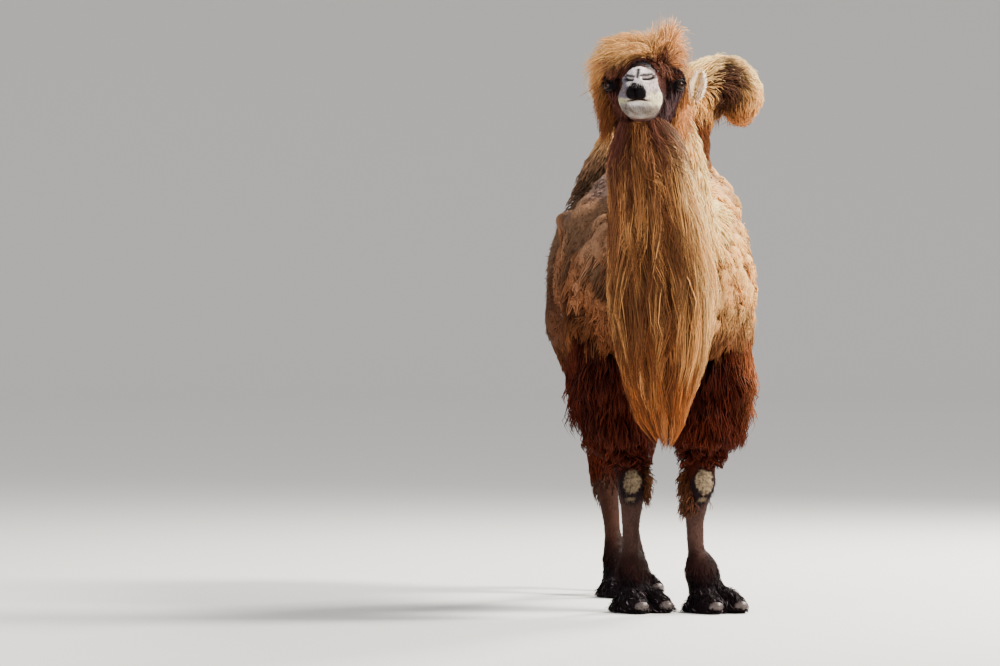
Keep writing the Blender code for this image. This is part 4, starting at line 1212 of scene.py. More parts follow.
def lie(region):
    """The lie of the coat, as a function of place for tufts rooted in these regions."""
    masks = {name: region_mask(region, name)[:, None] for name in REGIONS}
    leg = sum(masks[name] for name in LEGS)

    def lay(points):
        side = np.sign(points[:, :1]) * ramp(1.38, 1.50, points[:, 2:])
        flow = np.hstack([0.7 * side, 0.50 + 0 * side, -0.85 + 0.35 * np.abs(side)])
        neck_low = ramp(-0.40, -0.10, points[:, 1:2])
        flow = np.where(masks["neck"], np.hstack([0 * side, 0.10 + 0.5 * neck_low, -1.0 + 0.3 * neck_low]),
                        flow)
        flow = np.where(masks["head"], -FORWARD - 0.35 * UP, flow)
        if masks["hump_front"].any():
            over = along_path(HUMP_FRONT, points, 0.10) + np.array((0.15, 0.0, -0.15))
            hanging = ramp(0.08, 0.16, points[:, :1]) * ramp(1.94, 1.87, points[:, 2:])
            over = over + hanging * (np.array((0.05, 0.0, -1.0)) - over)
            flow = np.where(masks["hump_front"], over, flow)
        flow = np.where(masks["hump_rear"], (points - (0.01, 0.90, 1.95)) * (3.0, 3.0, 0)
                        + (0.0, 0.05, -1.0), flow)
        flow = np.where(masks["tail"], (0.0, 0.05, -1.0), flow)
        return np.where(leg, (0.0, 0.08, -1.0), flow)
    return lay


def put_on(piece, slot, *nodes):
    """Ride a piece on the body and hide the solids that it stands for; slot is not used."""
    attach(piece, "root")
    if nodes:
        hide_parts(*nodes)


FLESH_NODES = ("head", "neck", "trunk", "hump_front", "hump_rear", "tail") + tuple(LEGS)


def cover(skin, name, slot, material, count, density, seed, length, height, width, rings, axis=2, tone=None,
          group=None, look=None, lay=None, **combing):
    """Root tufts on the skin by a density, comb them and make one coat piece of them.

    length, height and width are (low, high) pairs, or functions of roots and generator."""
    roots, normals, region, rest, rng = skin.roots(count, density, seed)

    def drawn(value):
        return value(roots, rng) if callable(value) else rng.uniform(*value, len(roots))
    spine, owner = comb(roots, normals, lay or lie(region), drawn(length), drawn(height), rng, rings,
                        **combing)
    colours = tone(rest, region, rng) if tone else markings(rest, region)
    piece = coat_piece(name, spine, normals, drawn(width), colours, rng, material, axis=axis, owner=owner,
                       group=group(roots) if group else None, **(look or {}))
    put_on(piece, slot)


def which_leg(roots):
    """A number for the leg that each root is on."""
    return (roots[:, 1] > 0.4) * 2 + (roots[:, 0] > np.where(roots[:, 1] > 0.4, 0.012, 0.02)).astype(int)


def body_coat(skin, hair, short):
    """The coat of the trunk, neck, humps and tail."""
    mid, region = skin.middle, skin.face_region
    legs = region_mask(region, *LEGS)
    flank = np.maximum(region_mask(region, "trunk"), legs * (mid[:, 2] > 1.0))

    def flank_height(roots, rng):
        haunch = ramp(0.45, 0.65, roots[:, 1]) * ramp(1.30, 1.15, roots[:, 2])
        return rng.uniform(0.003, 0.010, len(roots)) + haunch * rng.uniform(0.0, 0.030, len(roots))

    def flank_length(roots, rng):
        return rng.uniform(0.022, 0.040, len(roots)) * (1 - 0.45 * woolliness(roots))
    for side, sign in (("left", 1), ("right", -1)):
        this_side = flank * (mid[:, 0] * sign > 0)
        cover(skin, "coat_flank_" + side, "coat_tan", short, count=12000, density=this_side, seed=100 + sign,
              length=flank_length, height=flank_height, width=(0.0042, 0.0070), rings=1, axis=1, stray=0.40,
              hold=0.3, look={"root_dark": 0.75, "tip_light": 1.2, "vary": 0.15}, clumps=(2200, 0.4, 0.014))
    wool = np.maximum(flank, region_mask(region, "neck") * ramp(-0.42, -0.25, mid[:, 1])) * woolliness(mid)

    def curdled(points):
        _, owner = lumps(points, LUMPS)
        away = unit(points - LUMPS[owner] + 1e-6)
        return 0.6 * away + unit(np.array((0.0, 0.45, -1.0)) + 0 * points)
    cover(skin, "coat_wool", "coat_tan", hair, count=9600, density=wool * (0.30 + lump_height(mid)),
          seed=103, length=(0.020, 0.036), height=(0.003, 0.014), width=(0.0042, 0.0072), rings=2, axis=1,
          stray=0.55, wave=0.005, hold=0.3, droop=0.45, lay=curdled, clumps=(1300, 0.6, 0.02),
          look={"root_dark": 0.6, "tip_light": 1.35, "vary": 0.16})
    neck = region_mask(region, "neck") * ramp(-0.02, -0.12, mid[:, 1])
    cover(skin, "coat_neck", "coat_gold", hair, count=6000, density=neck, seed=104, length=(0.075, 0.120),
          height=lambda roots, rng: rng.uniform(0.2, 1.0, len(roots))
          * (0.026 + 0.028 * ramp(0.06, 0.14, roots[:, 0])),
          width=(0.0036, 0.0064), rings=3, stray=0.20, wave=0.004, hold=0.5, clumps=(560, 0.6, 0.035),
          look={"root_dark": 0.5, "tip_light": 1.35})
    shoulder = region_mask(region, "trunk", "neck", "foreleg_left", "foreleg_right")
    hem = 1.00 + 0.055 * smooth_noise(mid, 0.12, 48)
    shoulder = shoulder * ramp(0.32, 0.12, mid[:, 1]) * ramp(hem - 0.05, hem + 0.02, mid[:, 2])
    shoulder *= (ramp(1.40, 1.24, mid[:, 2]) * (0.25 + ramp(1.14, 1.04, mid[:, 2]))
                 * ramp(-0.4, 0.6, smooth_noise(mid, 0.10, 49)))
    cover(skin, "coat_shoulder", "coat_tan", hair, count=2600, density=shoulder, seed=108,
          length=(0.05, 0.11), height=(0.006, 0.030), width=(0.0040, 0.0068), rings=3, stray=0.28,
          wave=0.005, hold=0.4, clumps=(170, 0.7, 0.045),
          tone=lambda roots, region, rng: markings(np.maximum(roots, (-9, -9, 1.01)), region),
          look={"root_dark": 0.5, "tip_light": 1.3})
    front = region_mask(region, "hump_front") * (ramp(1.50, 1.62, mid[:, 2]) * 0.9 + 0.1)

    def hump_length(roots, rng):
        longer = 0.7 + 0.3 * ramp(1.6, 1.85, roots[:, 2])
        longer = longer + 0.5 * ramp(1.92, 1.84, roots[:, 2]) * ramp(0.2, 0.3, roots[:, 0])
        return rng.uniform(0.05, 0.10, len(roots)) * longer

    def hump_height(roots, rng):
        return rng.uniform(0.1, 1.0, len(roots)) ** 0.8 * (0.026 + 0.016 * ramp(1.7, 1.9, roots[:, 2]))
    cover(skin, "coat_hump_front", "coat_tan", hair, count=8100, density=front, seed=105, length=hump_length,
          height=hump_height, width=(0.0026, 0.0046), rings=3, stray=0.34, wave=0.007, hold=0.7,
          clumps=(520, 0.6, 0.04), look={"root_dark": 0.5, "tip_light": 1.3, "vary": 0.14})
    rear = region_mask(region, "hump_rear") * (ramp(1.50, 1.62, mid[:, 2]) * 0.9 + 0.1)
    cover(skin, "coat_hump_rear", "coat_tan", hair, count=2600, density=rear, seed=106,
          length=lambda roots, rng: rng.uniform(0.06, 0.11, len(roots))
          * (0.6 + 0.4 * ramp(1.6, 1.8, roots[:, 2])),
          height=(0.004, 0.026), width=(0.0042, 0.0072), rings=3, stray=0.22, wave=0.003, hold=0.6,
          clumps=(300, 0.6, 0.035), look={"root_dark": 0.5, "tip_light": 1.3})
    tail = region_mask(region, "tail") * (mid[:, 2] < 1.40)
    cover(skin, "coat_tail", "coat_dark", hair, count=1000, density=tail, seed=107,
          length=lambda roots, rng: rng.uniform(0.06, 0.10, len(roots))
          * (1 + 0.5 * ramp(1.1, 0.95, roots[:, 2])),
          height=(0.002, 0.020), width=(0.0035, 0.0060), rings=3, stray=0.12, clumps=(70, 0.6, 0.03))


def leg_coat(skin, hair, short):
    """Shaggy upper forelegs, thighs, smooth shanks, knee fringes and hairy feet."""
    mid, region = skin.middle, skin.face_region
    legs = region_mask(region, *LEGS)
    pads = np.ones(len(mid))
    for knee in KNEES.values():
        pads *= ramp(0.98, 1.12, np.linalg.norm((mid - knee) / KNEE_PAD, axis=1))
    for leg, seed in (("foreleg_right", 111), ("foreleg_left", 112)):
        top = 1.02 + 0.05 * smooth_noise(mid, 0.12, 47)
        shaggy = (region_mask(region, leg) * ramp(0.52, 0.58, mid[:, 2])
                  * ramp(top + 0.03, top - 0.04, mid[:, 2]))

        def hanging(roots, rng):
            outer = ramp(0.02, 0.14, np.abs(roots[:, 0] - 0.04))
            hem = (0.574 + 0.020 * outer + 0.014 * smooth_noise(roots, 0.05, 46)
                   + rng.normal(0, 0.010, len(roots)))
            return np.clip(roots[:, 2] - hem, 0.035, rng.uniform(0.10, 0.17, len(roots)))

        def full(roots, rng):
            bulk = 0.016 + 0.084 * ramp(1.04, 0.84, roots[:, 2]) * (1 + 0.30 * smooth_noise(roots, 0.10, 45))
            return (rng.uniform(0.15, 1.0, len(roots)) ** 0.7 * bulk
                    * (0.5 + 0.5 * ramp(0.58, 0.70, roots[:, 2])))

        def dark(roots, region, rng):
            tone = markings(np.maximum(roots - (0, 0, 0.10), (-9, -9, 0.66)), region)
            sunlit = ramp(0.22, 0.34, roots[:, 0]) * ramp(0.66, 0.80, roots[:, 2])
            return mix(tone, RUST * 1.5, sunlit * 0.75)
        cover(skin, "coat_" + leg, "coat_dark", hair, count=4300, density=shaggy, seed=seed, length=hanging,
              height=full, width=(0.0040, 0.0072), rings=3, stray=0.17, wave=0.007, hold=0.6, droop=0.30,
              clumps=(330, 0.66, 0.05), tone=dark, look={"root_dark": 0.45, "tip_light": 1.7, "vary": 0.22})
    for leg, seed in (("hindleg_right", 113), ("hindleg_left", 114)):
        thigh = region_mask(region, leg) * ramp(0.40, 0.48, mid[:, 2]) * (mid[:, 2] < 1.02)
        cover(skin, "coat_" + leg, "coat_dark", short, count=2500, density=thigh, seed=seed,
              length=(0.030, 0.060), height=(0.004, 0.016), width=(0.0045, 0.0075), rings=2, stray=0.25,
              clumps=(300, 0.5, 0.025), look={"root_dark": 0.6})
    shank = legs * (mid[:, 2] < 0.56) * ramp(0.13, 0.16, mid[:, 2]) * pads
    cover(skin, "coat_shanks", "coat_dark", short, count=9000, density=shank, seed=115,
          length=lambda roots, rng: rng.uniform(0.009, 0.016, len(roots))
          * (1 + 1.0 * ramp(0.38, 0.45, roots[:, 2])),
          height=(0.0012, 0.0035), width=(0.0022, 0.0038), rings=1, stray=0.22, group=which_leg,
          look={"root_dark": 0.85, "tip_light": 1.2, "vary": 0.14})
    foot = legs * ramp(0.185, 0.15, mid[:, 2]) * ramp(0.004, 0.014, mid[:, 2]) * (skin.slope[:, 2] > -0.6)
    toewards = foot_axes()[1]

    def over_foot(points):
        low = ramp(0.12, 0.05, points[:, 2:])
        return toewards * (0.35 + 0.55 * low) + np.array((0.0, 0.0, -1.0)) * (1 - 0.35 * low)

    def foot_tone(roots, region, rng):
        # a few grey tufts over the toes: grey hairs, partly painted highlight
        grey = (rng.uniform(0, 1, len(roots)) < 0.10 * ramp(0.10, 0.06, roots[:, 2])).astype(float)
        return mix(markings(roots, region), FOOT_GREY_GLINT, grey * 0.8)
    cover(skin, "coat_feet", "coat_dark", hair, count=4600, density=foot, seed=116, length=(0.020, 0.042),
          height=(0.002, 0.008), width=(0.0020, 0.0036), rings=2, stray=0.20, wave=0.002, lay=over_foot,
          tone=foot_tone, group=which_leg, clumps=(420, 0.6, 0.018),
          look={"root_dark": 0.8, "tip_light": 1.4, "vary": 0.18})
    inner = np.zeros(len(mid))
    for leg, (middle, size) in KNEE_FRINGES.items():
        near = np.linalg.norm((mid - middle) / (np.array(size) * 1.1), axis=1)
        inner = np.maximum(inner, ramp(1.25, 0.75, near) * region_mask(region, leg))
    inner *= pads
    hock = (ramp(0.34, 0.38, mid[:, 2]) * ramp(0.52, 0.48, mid[:, 2]) * (mid[:, 1] > 0.3)
            * (skin.slope[:, 1] > 0))

    def fringe_height(roots, rng):
        at_knee = roots[:, 1] < 0.3
        return rng.uniform(0.10, 1.0, len(roots)) ** 1.3 * np.where(at_knee, 0.042, 0.020)

    def fringe_tone(roots, region, rng):
        warm = ramp(-0.08, -0.03, roots[:, 0]) * ramp(0.05, 0.0, roots[:, 0]) * ramp(0.44, 0.50, roots[:, 2])
        tone = mix(markings(roots, region), RUST * 0.32, np.full(len(roots), 0.75))
        return mix(tone, GOLD * 0.7, warm * 0.6)
    cover(skin, "coat_knee_fringe", "coat_dark", hair, count=1800, density=legs * (inner + 0.25 * hock),
          seed=117, length=(0.022, 0.062), height=fringe_height, width=(0.0030, 0.0054), rings=3, stray=0.45,
          wave=0.007, hold=0.5, group=which_leg, clumps=(150, 0.7, 0.03), tone=fringe_tone,
          look={"root_dark": 0.6, "tip_light": 1.6, "vary": 0.25})


def head_coat(skin, hair, short):
    """Fine fur of the face, the hair round the eyes, the crown's mop, the brow and the cheeks."""
    mid = skin.middle
    local = to_head(mid)
    on_head = region_mask(skin.face_region, "head")
    bare = ramp(0.90, 1.05, in_patch(local))
    bare *= 1 - lip_middle(local) * ramp(0.0060, 0.0035, line_set_distance(local, MOUTH))
    for lines in (NOSTRIL, NOSE_FOLD, NOSE_CREASE):
        bare *= ramp(0.003, 0.008, line_set_distance(local, lines))
    for sign in (1, -1):
        bare *= ramp(1.20, 1.50, lid_oval(mid, sign))

    def fine(low, high):
        def drawn(roots, rng):
            v = to_head(roots)[:, 1]
            return (rng.uniform(low, high, len(roots)) * (1 - 0.68 * ramp(0.13, 0.22, v))
                    * (1 + 0.7 * ramp(0.0, -0.1, v)))
        return drawn

    def swept(points):
        at = to_head(points)
        under = ramp(-0.02, -0.10, at[:, 2:])
        return -FORWARD * (1 - 0.5 * under) - UP * (0.25 + 0.6 * under)
    cover(skin, "coat_face", "face_hide", short, count=15500,
          density=on_head * bare * (1 - 0.45 * ramp(0.17, 0.24, local[:, 1])), seed=121,
          length=fine(0.009, 0.016), height=fine(0.0012, 0.0045), width=fine(0.0020, 0.0034), rings=1,
          axis=1, stray=0.18, lay=swept, look={"root_dark": 0.9, "tip_light": 1.12, "vary": 0.14})

    for side, sign in (("left", 1), ("right", -1)):
        centre, _, up, outward = eye_frame(sign)
        away = np.linalg.norm(mid - centre, axis=1)
        ring = on_head * ramp(1.25, 1.60, lid_oval(mid, sign)) * ramp(0.062, 0.046, away)

        def from_eye(points, centre=centre, up=up, outward=outward):
            arm = points - centre
            return unit(arm - (arm @ outward)[:, None] * outward) + 0.25 * outward - 0.25 * up
        cover(skin, "coat_eye_" + side, "face_hide", hair, count=900, density=ring, seed=124 + sign,
              length=(0.012, 0.022), height=(0.002, 0.008), width=(0.0018, 0.0032), rings=2, stray=0.25,
              lay=from_eye, hold=0.3,
              tone=lambda roots, region, rng: mix(plain(NOSE_BLACK * 1.2, roots), DARK_FACE * 0.6,
                                                  rng.uniform(0, 1, len(roots))),
              look={"root_dark": 0.8, "tip_light": 1.3, "vary": 0.2})

    def away_from_brow(points):
        at = to_head(points)
        out = unit(at - (0.02, 0.015, 0.030))
        front = ramp(0.0, 0.05, at[:, 1])
        fall = (0.20 + 0.9 * ramp(0.03, 0.13, np.abs(at[:, 0] - 0.02)) + 0.6 * ramp(-0.10, -0.20, at[:, 1])
                + 0.9 * front)
        stand = (1.05 * ramp(0.010, 0.060, at[:, 0]) * ramp(0.135, 0.105, at[:, 0])
                 * ramp(0.05, 0.08, at[:, 2]))
        sweep = -0.45 * ramp(0.05, -0.02, at[:, 0])
        return ((out[:, 0] + sweep)[:, None] * LEFT + out[:, 1:2] * FORWARD
                + (out[:, 2] - fall + stand)[:, None] * UP)

    def mop(roots, rng):
        at = to_head(roots)
        return rng.uniform(0.10, 0.17, len(roots)) * (0.50 + 0.50 * ramp(0.055, -0.01, at[:, 1]))

    def mop_height(roots, rng):
        at = to_head(roots)
        top = ramp(0.05, 0.10, at[:, 2])
        left, right = ramp(0.02, -0.07, at[:, 0]), ramp(0.03, 0.08, at[:, 0])
        full = 0.040 + 0.070 * top + 0.045 * left * (1 - 0.6 * top) + 0.055 * right * top
        return (rng.uniform(0.10, 1.0, len(roots)) ** 0.7 * full
                * (0.35 + 0.65 * ramp(0.055, -0.03, at[:, 1])))

    def mop_tone(roots, region, rng):
        at = to_head(roots)
        # paler towards the top, partly painted light; rust low on the right, painted shade; dark at the
        # fringe's lower front, partly painted shade under the mop
        tone = mix(plain(GOLD * 0.75, roots), SAND * 1.1, ramp(0.04, 0.11, at[:, 2]) * 0.8)
        tone = mix(tone, RUST * 0.75, ramp(0.03, -0.05, at[:, 2]) * ramp(0.03, -0.05, at[:, 0]))
        tone = mix(tone, GOLD * 0.95, ramp(0.01, 0.08, at[:, 0] + rng.normal(0, 0.02, len(roots))) * 0.85)
        return mix(tone, DARK_FACE * 2, ramp(-0.005, 0.025, at[:, 1]) * ramp(0.094, 0.076, at[:, 2]) * 0.9)
    ear_gap = ramp(0.028, 0.045, np.linalg.norm(local - (0.125, -0.15, 0.0), axis=1))
    ear_gap *= 1 - 0.7 * ramp(0.060, 0.040, np.linalg.norm(local - (-0.135, -0.15, 0.0), axis=1))
    top_area = on_head * ramp(0.050, 0.070, local[:, 2]) * (local[:, 1] < 0.075)
    side_area = (on_head * ramp(-0.02, -0.05, local[:, 1]) * ramp(-0.12, -0.05, local[:, 2])
                 * (local[:, 2] < 0.065))
    for name, count, area, seed in (("crown", 5400, top_area, 122),
                                    ("temples", 3300, side_area * ear_gap, 126)):
        cover(skin, "coat_" + name, "coat_gold", hair, count=count, density=area, seed=seed, length=mop,
              height=mop_height, width=(0.0026, 0.0048), rings=4, stray=0.21, wave=0.009, lay=away_from_brow,
              tone=mop_tone, hold=0.8, arch=1.7, droop=0.10, clumps=(count // 15, 0.62, 0.045),
              look={"root_dark": 0.42, "tip_light": 1.5, "vary": 0.24})

    def brow_tone(roots, region, rng):
        at = to_head(roots)
        return mix(plain(DARK_FACE * 1.6, roots), RUST * 0.6,
                   rng.uniform(0, 0.7, len(roots)) * ramp(0.0, 0.06, at[:, 0]))
    brow = (on_head * ramp(0.15, 0.11, local[:, 1]) * ramp(0.0, 0.04, local[:, 1])
            * ramp(0.02, 0.04, local[:, 2]))
    brow *= ramp(0.034, 0.040, np.minimum(np.linalg.norm(local - EYE_PLACE, axis=1),
                                          np.linalg.norm(local - EYE_PLACE * (-1, 1, 1), axis=1)))

    def brow_lie(points):
        down = np.tile(0.5 * FORWARD - 0.8 * UP, (len(points), 1))
        return down + LEFT * to_head(points)[:, :1] * 8
    cover(skin, "coat_brow", "face_hide", hair, count=2200, density=brow, seed=128, length=(0.016, 0.030),
          height=(0.002, 0.010), width=(0.0015, 0.0028), rings=2, stray=0.35, wave=0.003, hold=0.4,
          clumps=(260, 0.5, 0.02), tone=brow_tone, lay=brow_lie,
          look={"root_dark": 0.7, "tip_light": 1.4, "vary": 0.2})

    def cheek_tone(roots, region, rng):
        at = to_head(roots)
        tone = mix(plain(DARK_FACE * 1.25, roots), RUST * 0.8, ramp(-0.10, -0.19, at[:, 1]) * 0.8)
        # painted sheen on the dark hair of the left cheek, below the eye
        return mix(tone, CHEEK_SHEEN, ramp(0.0, 0.05, at[:, 0]) * ramp(-0.05, 0.01, at[:, 1]) * 0.6)
    cheeks = on_head * ramp(0.06, -0.02, local[:, 1]) * ramp(0.03, -0.04, local[:, 2]) * bare
    cover(skin, "coat_cheeks", "face_hide", hair, count=3400, density=cheeks, seed=123,
          length=(0.035, 0.065), height=(0.003, 0.020), width=(0.0032, 0.0056), rings=3, stray=0.18,
          wave=0.002, lay=lambda points: np.tile(-0.30 * FORWARD - UP, (len(points), 1)), tone=cheek_tone,
          clumps=(330, 0.6, 0.03), look={"root_dark": 0.6, "tip_light": 1.6, "vary": 0.18})


def loft_frames(rows, steps):
    """Centre, half width, half depth and directions along a loft, for placing long locks."""
    points = eased(rows, steps)
    path = points[:, :3]
    tangent = unit(np.gradient(path, axis=0))
    across = unit(np.array((1.0, 0.0, 0.0)) - tangent[:, :1] * tangent)
    return points, across, np.cross(tangent, across)


def on_loft(frames, along, angle, size):
    """Point on a loft at a share of its run, an angle round it and a share of its size."""
    points, across, up = frames
    place = np.clip(along, 0.0, 1.0) * (len(points) - 1)
    low = np.minimum(place.astype(int), len(points) - 2)
    share = (place - low)[..., None]

    def between(rows):
        return rows[low] * (1 - share) + rows[low + 1] * share
    row, side, top = between(points), between(across), between(up)
    return (row[..., :3] + side * (row[..., 3:4] * (np.cos(angle) * size)[..., None])
            + top * (row[..., 4:5] * (np.sin(angle) * size)[..., None]))


BEARD_RINGS = 5
# Layers: name, seed, locks, tufts in a lock, least and greatest share of the form's size that they lie at,
# shares of its run where locks start, and how much shorter than the outer ones they are
BEARD_LAYERS = (
    ("outer", 131, 340, 16, 0.90, 1.02, -0.04, 0.70, 0.0),
    ("inner", 132, 60, 10, 0.60, 0.90, 0.0, 0.75, 0.0),
    ("top", 133, 120, 13, 0.88, 1.04, -0.10, 0.28, 0.20),
    ("stray", 134, 70, 6, 1.0, 1.06, 0.10, 0.72, 0.04),
    ("throat", 135, 110, 12, 0.96, 1.06, -0.14, 0.04, 0.20),
)
BEARD_PROFILE = np.array([0.7, 1.0, 0.95, 0.75, 0.45])


def beard_coat(hair):
    """The long beard: tapering wavy locks combed down a hanging form from throat to tip."""
    frames = loft_frames(BEARD, 12)
    strand = np.linspace(0, 1, BEARD_RINGS + 1)[None]
    for name, seed, locks, each, low, high, first, last, short_run in BEARD_LAYERS:
        rng = np.random.default_rng(seed)
        owner = np.repeat(np.arange(locks), each)
        count = len(owner)
        angle = rng.uniform(0, 2 * math.pi, locks)
        start = rng.uniform(first, last, locks)
        run = rng.uniform(0.24, 0.42, locks) - short_run
        longest = 1.0 - 0.28 * ramp(0.3, 0.9, -np.cos(angle)) * rng.uniform(0, 1, locks)
        run = np.minimum(run, longest - start + rng.uniform(-0.05, 0.0, locks))
        run = np.maximum(run, 0.07)
        size = rng.uniform(low, high, locks)
        sway = (rng.uniform(0.04, 0.16, locks), rng.uniform(0.8, 1.9, locks) * 2 * math.pi,
                rng.uniform(0, 6.3, locks))
        drift = rng.normal(0, 0.16, locks)
        start = (start[owner] + rng.normal(0, 0.022, count))[:, None]
        spread = rng.normal(0, 0.13, count)[:, None]
        thick = rng.normal(0, 0.035, count)[:, None]
        gather = 0.20 + 0.80 * (1 - strand) ** 1.2
        turn = (angle[owner][:, None] + drift[owner][:, None] * strand + spread * gather
                + (sway[0][owner][:, None]
                   * np.sin(sway[1][owner][:, None] * strand + sway[2][owner][:, None])) * strand)
        out = size[owner][:, None] + thick * gather + 0.045 * np.sin(9 * strand + sway[2][owner][:, None])
        out = np.minimum(out, 1.05 + 0.09 * (name == "stray") * strand) * (1 - 0.40 * (1 - strand) ** 3)
        spine = on_loft(frames, start + run[owner][:, None] * strand, turn, out)
        spine += rng.normal(0, 0.0016, spine.shape)
        normals = unit(spine[:, 0] - on_loft(frames, start[:, 0], turn[:, 0], np.zeros(count)))
        height, facing = spine[:, 2, 2], np.cos(turn[:, 2])
        left_tan = mix(GOLD * 0.52, GOLD * 0.30, ramp(1.52, 1.22, height))
        tone = mix(left_tan, GOLD * 0.34, ramp(-0.70, -0.30, facing))
        tone = mix(tone, AMBER * (0.66, 0.56, 0.50), ramp(1.22, 0.82, height) * 0.85)
        # sand and cream on the beard's left side, partly painted sunlight
        tone = mix(tone, SAND * 0.95, ramp(0.30, 0.85, facing) * ramp(0.85, 1.15, height) * 0.8)
        tone = mix(tone, CREAM, ramp(0.60, 0.98, facing) * ramp(1.05, 1.40, height) * 0.9)
        tone = mix(tone, GOLD * 0.54, ramp(1.50, 1.62, height) * ramp(0.6, 0.2, np.abs(facing + 0.3)) * 0.7)
        drawn_out = 0.08 * smooth_noise(spine[:, 0], 0.05, 61)
        dark = np.maximum(ramp(0.34, 0.22, np.abs(facing + 0.84)), ramp(0.50, 0.36, np.abs(facing - 0.62)))
        share = {"throat": 0.95, "top": 0.85}.get(name, 0.75)
        tone = mix(tone, DARK_FACE * 1.8, dark * ramp(1.60, 1.66, height + drawn_out) * share)
        # painted shade in a groove at the upper front
        tone = mix(tone, RUST * 0.40, ramp(0.28, 0.12, np.abs(facing - 0.30))
                   * ramp(1.36, 1.52, height + drawn_out) * 0.35)
        stripe = rng.uniform(0, 1, locks)[owner]
        tone = mix(tone, RUST * 0.42, (stripe < 0.38) * (0.4 + 0.6 * rng.uniform(0, 1, count))
                   * ramp(0.95, 0.5, facing))
        tone = mix(tone, SAND * (0.85, 0.74, 0.62), (stripe > 0.80) * 0.60 * ramp(1.64, 1.54, height)
                   * (0.35 + 0.65 * ramp(0.85, 1.10, height)))
        tone = np.minimum(tone * mix(plain(BEARD_SHADE, tone), BEARD_SUN, ramp(0.25, 0.70, facing)), PALEST)
        put_on(coat_piece("coat_beard_" + name, spine, normals, rng.uniform(0.0018, 0.0042, count), tone,
                          rng, hair, root_dark=0.55, tip_light=1.3, vary=0.28, profile=BEARD_PROFILE,
                          thickness=0.5, owner=owner), "coat_gold")


def beard_core(hair):
    """The dense inside of the beard, so that no light shows through; its dark colour is painted shade."""
    frames = loft_frames(BEARD[:-1], 10)
    count, sides = len(frames[0]), 48
    along = np.repeat(np.linspace(0.02, 1, count)[:, None], sides, 1)
    angle = np.repeat(np.arange(sides)[None] * 2 * math.pi / sides, count, 0)
    groove = 0.80 + 0.03 * np.sin(angle * 17) + 0.02 * np.sin(angle * 29 + 1.0)
    taper = 1 - 0.35 * ramp(0.85, 1.0, along)
    ring = on_loft(frames, along, angle, groove * taper)
    points = np.vstack([ring.reshape(-1, 3), ring[0].mean(axis=0)[None], ring[-1].mean(axis=0)[None]])
    tone = plain(RUST * 0.26, points)
    lock = np.zeros((len(points), 3))
    lock[:-2, 0] = (angle / 6.3 * 7).ravel()
    lock[:-2, 2] = along.ravel()
    uv = np.zeros((len(points), 2))
    uv[:-2] = np.stack([angle / (2 * math.pi), along * 0.98], -1).reshape(-1, 2)
    obj = write_mesh("coat_beard_core", points, ball_faces(count, sides), tone, lock, uv)
    obj.data.materials.append(hair)
    put_on(obj, "coat_gold", "beard")


# ---------------------------------------------------------------- eyes, lashes, ears, nails
IRIS_RADIUS = 0.0135
PUPIL_HALF = (0.0085, 0.0048)


def make_eye(side, sign):
    """A glossy dark eye with a long level pupil."""
    centre, nosewards, up, outward = eye_frame(sign)
    rings, sides = 28, 40
    polar = np.linspace(0, math.pi, rings + 1)[1:-1]
    around = np.arange(sides) * 2 * math.pi / sides
    cornea = 1 + 0.05 * np.exp(-(polar / 0.55) ** 2)
    radius = EYE_RADIUS * cornea
    ring = (np.sin(polar) * radius)[:, None, None] * (np.cos(around)[None, :, None] * nosewards
                                                      + np.sin(around)[None, :, None] * up)
    ring = centre + ring + (np.cos(polar) * radius)[:, None, None] * outward
    points = np.vstack([ring.reshape(-1, 3), centre + outward * EYE_RADIUS * 1.05,
                        centre - outward * EYE_RADIUS])
    faces = ball_faces(rings - 1, sides)
    if np.cross(nosewards, up) @ outward < 0:
        faces = faces[:, ::-1]
    away = points - centre
    along, rise, depth = away @ nosewards, away @ up, away @ outward
    iris = ramp(IRIS_RADIUS + 0.0015, IRIS_RADIUS, np.hypot(along, rise)) * (depth > 0)
    pupil = ramp(1.1, 0.9, np.sqrt((along / PUPIL_HALF[0]) ** 2 + (rise / PUPIL_HALF[1]) ** 2)) * (depth > 0)
    tone = mix(mix(plain(EYE_BROWN, points), IRIS, iris), PUPIL, pupil)
    obj = write_mesh("eyeball_" + side, points, faces, tone)
    made, nodes, links, shader = new_material("eye_" + side, EYE_SPECULAR)
    tint, place = read_attribute(nodes, "tint"), add_node(nodes, "NewGeometry")
    streak = add_node(nodes, "TexNoise", Scale=420.0)
    shade = add_node(nodes, "MapRange", To_Min=0.7, To_Max=1.3)
    scale = add_node(nodes, "VectorMath", "SCALE")
    wire(links, (place.outputs["Position"], streak.inputs["Vector"]),
         (streak.outputs["Fac"], shade.inputs["Value"]), (tint.outputs["Color"], scale.inputs[0]),
         (shade.outputs["Result"], scale.inputs["Scale"]),
         (scale.outputs["Vector"], shader.inputs["Base Color"]))
    shader.inputs["Roughness"].default_value = 0.10
    obj.data.materials.append(made)
    put_on(obj, "eye", "eye_" + side)


LASHES = 120                # on each eye
LASH_LENGTH, LASH_WIDTH = (0.008, 0.013), 0.0011


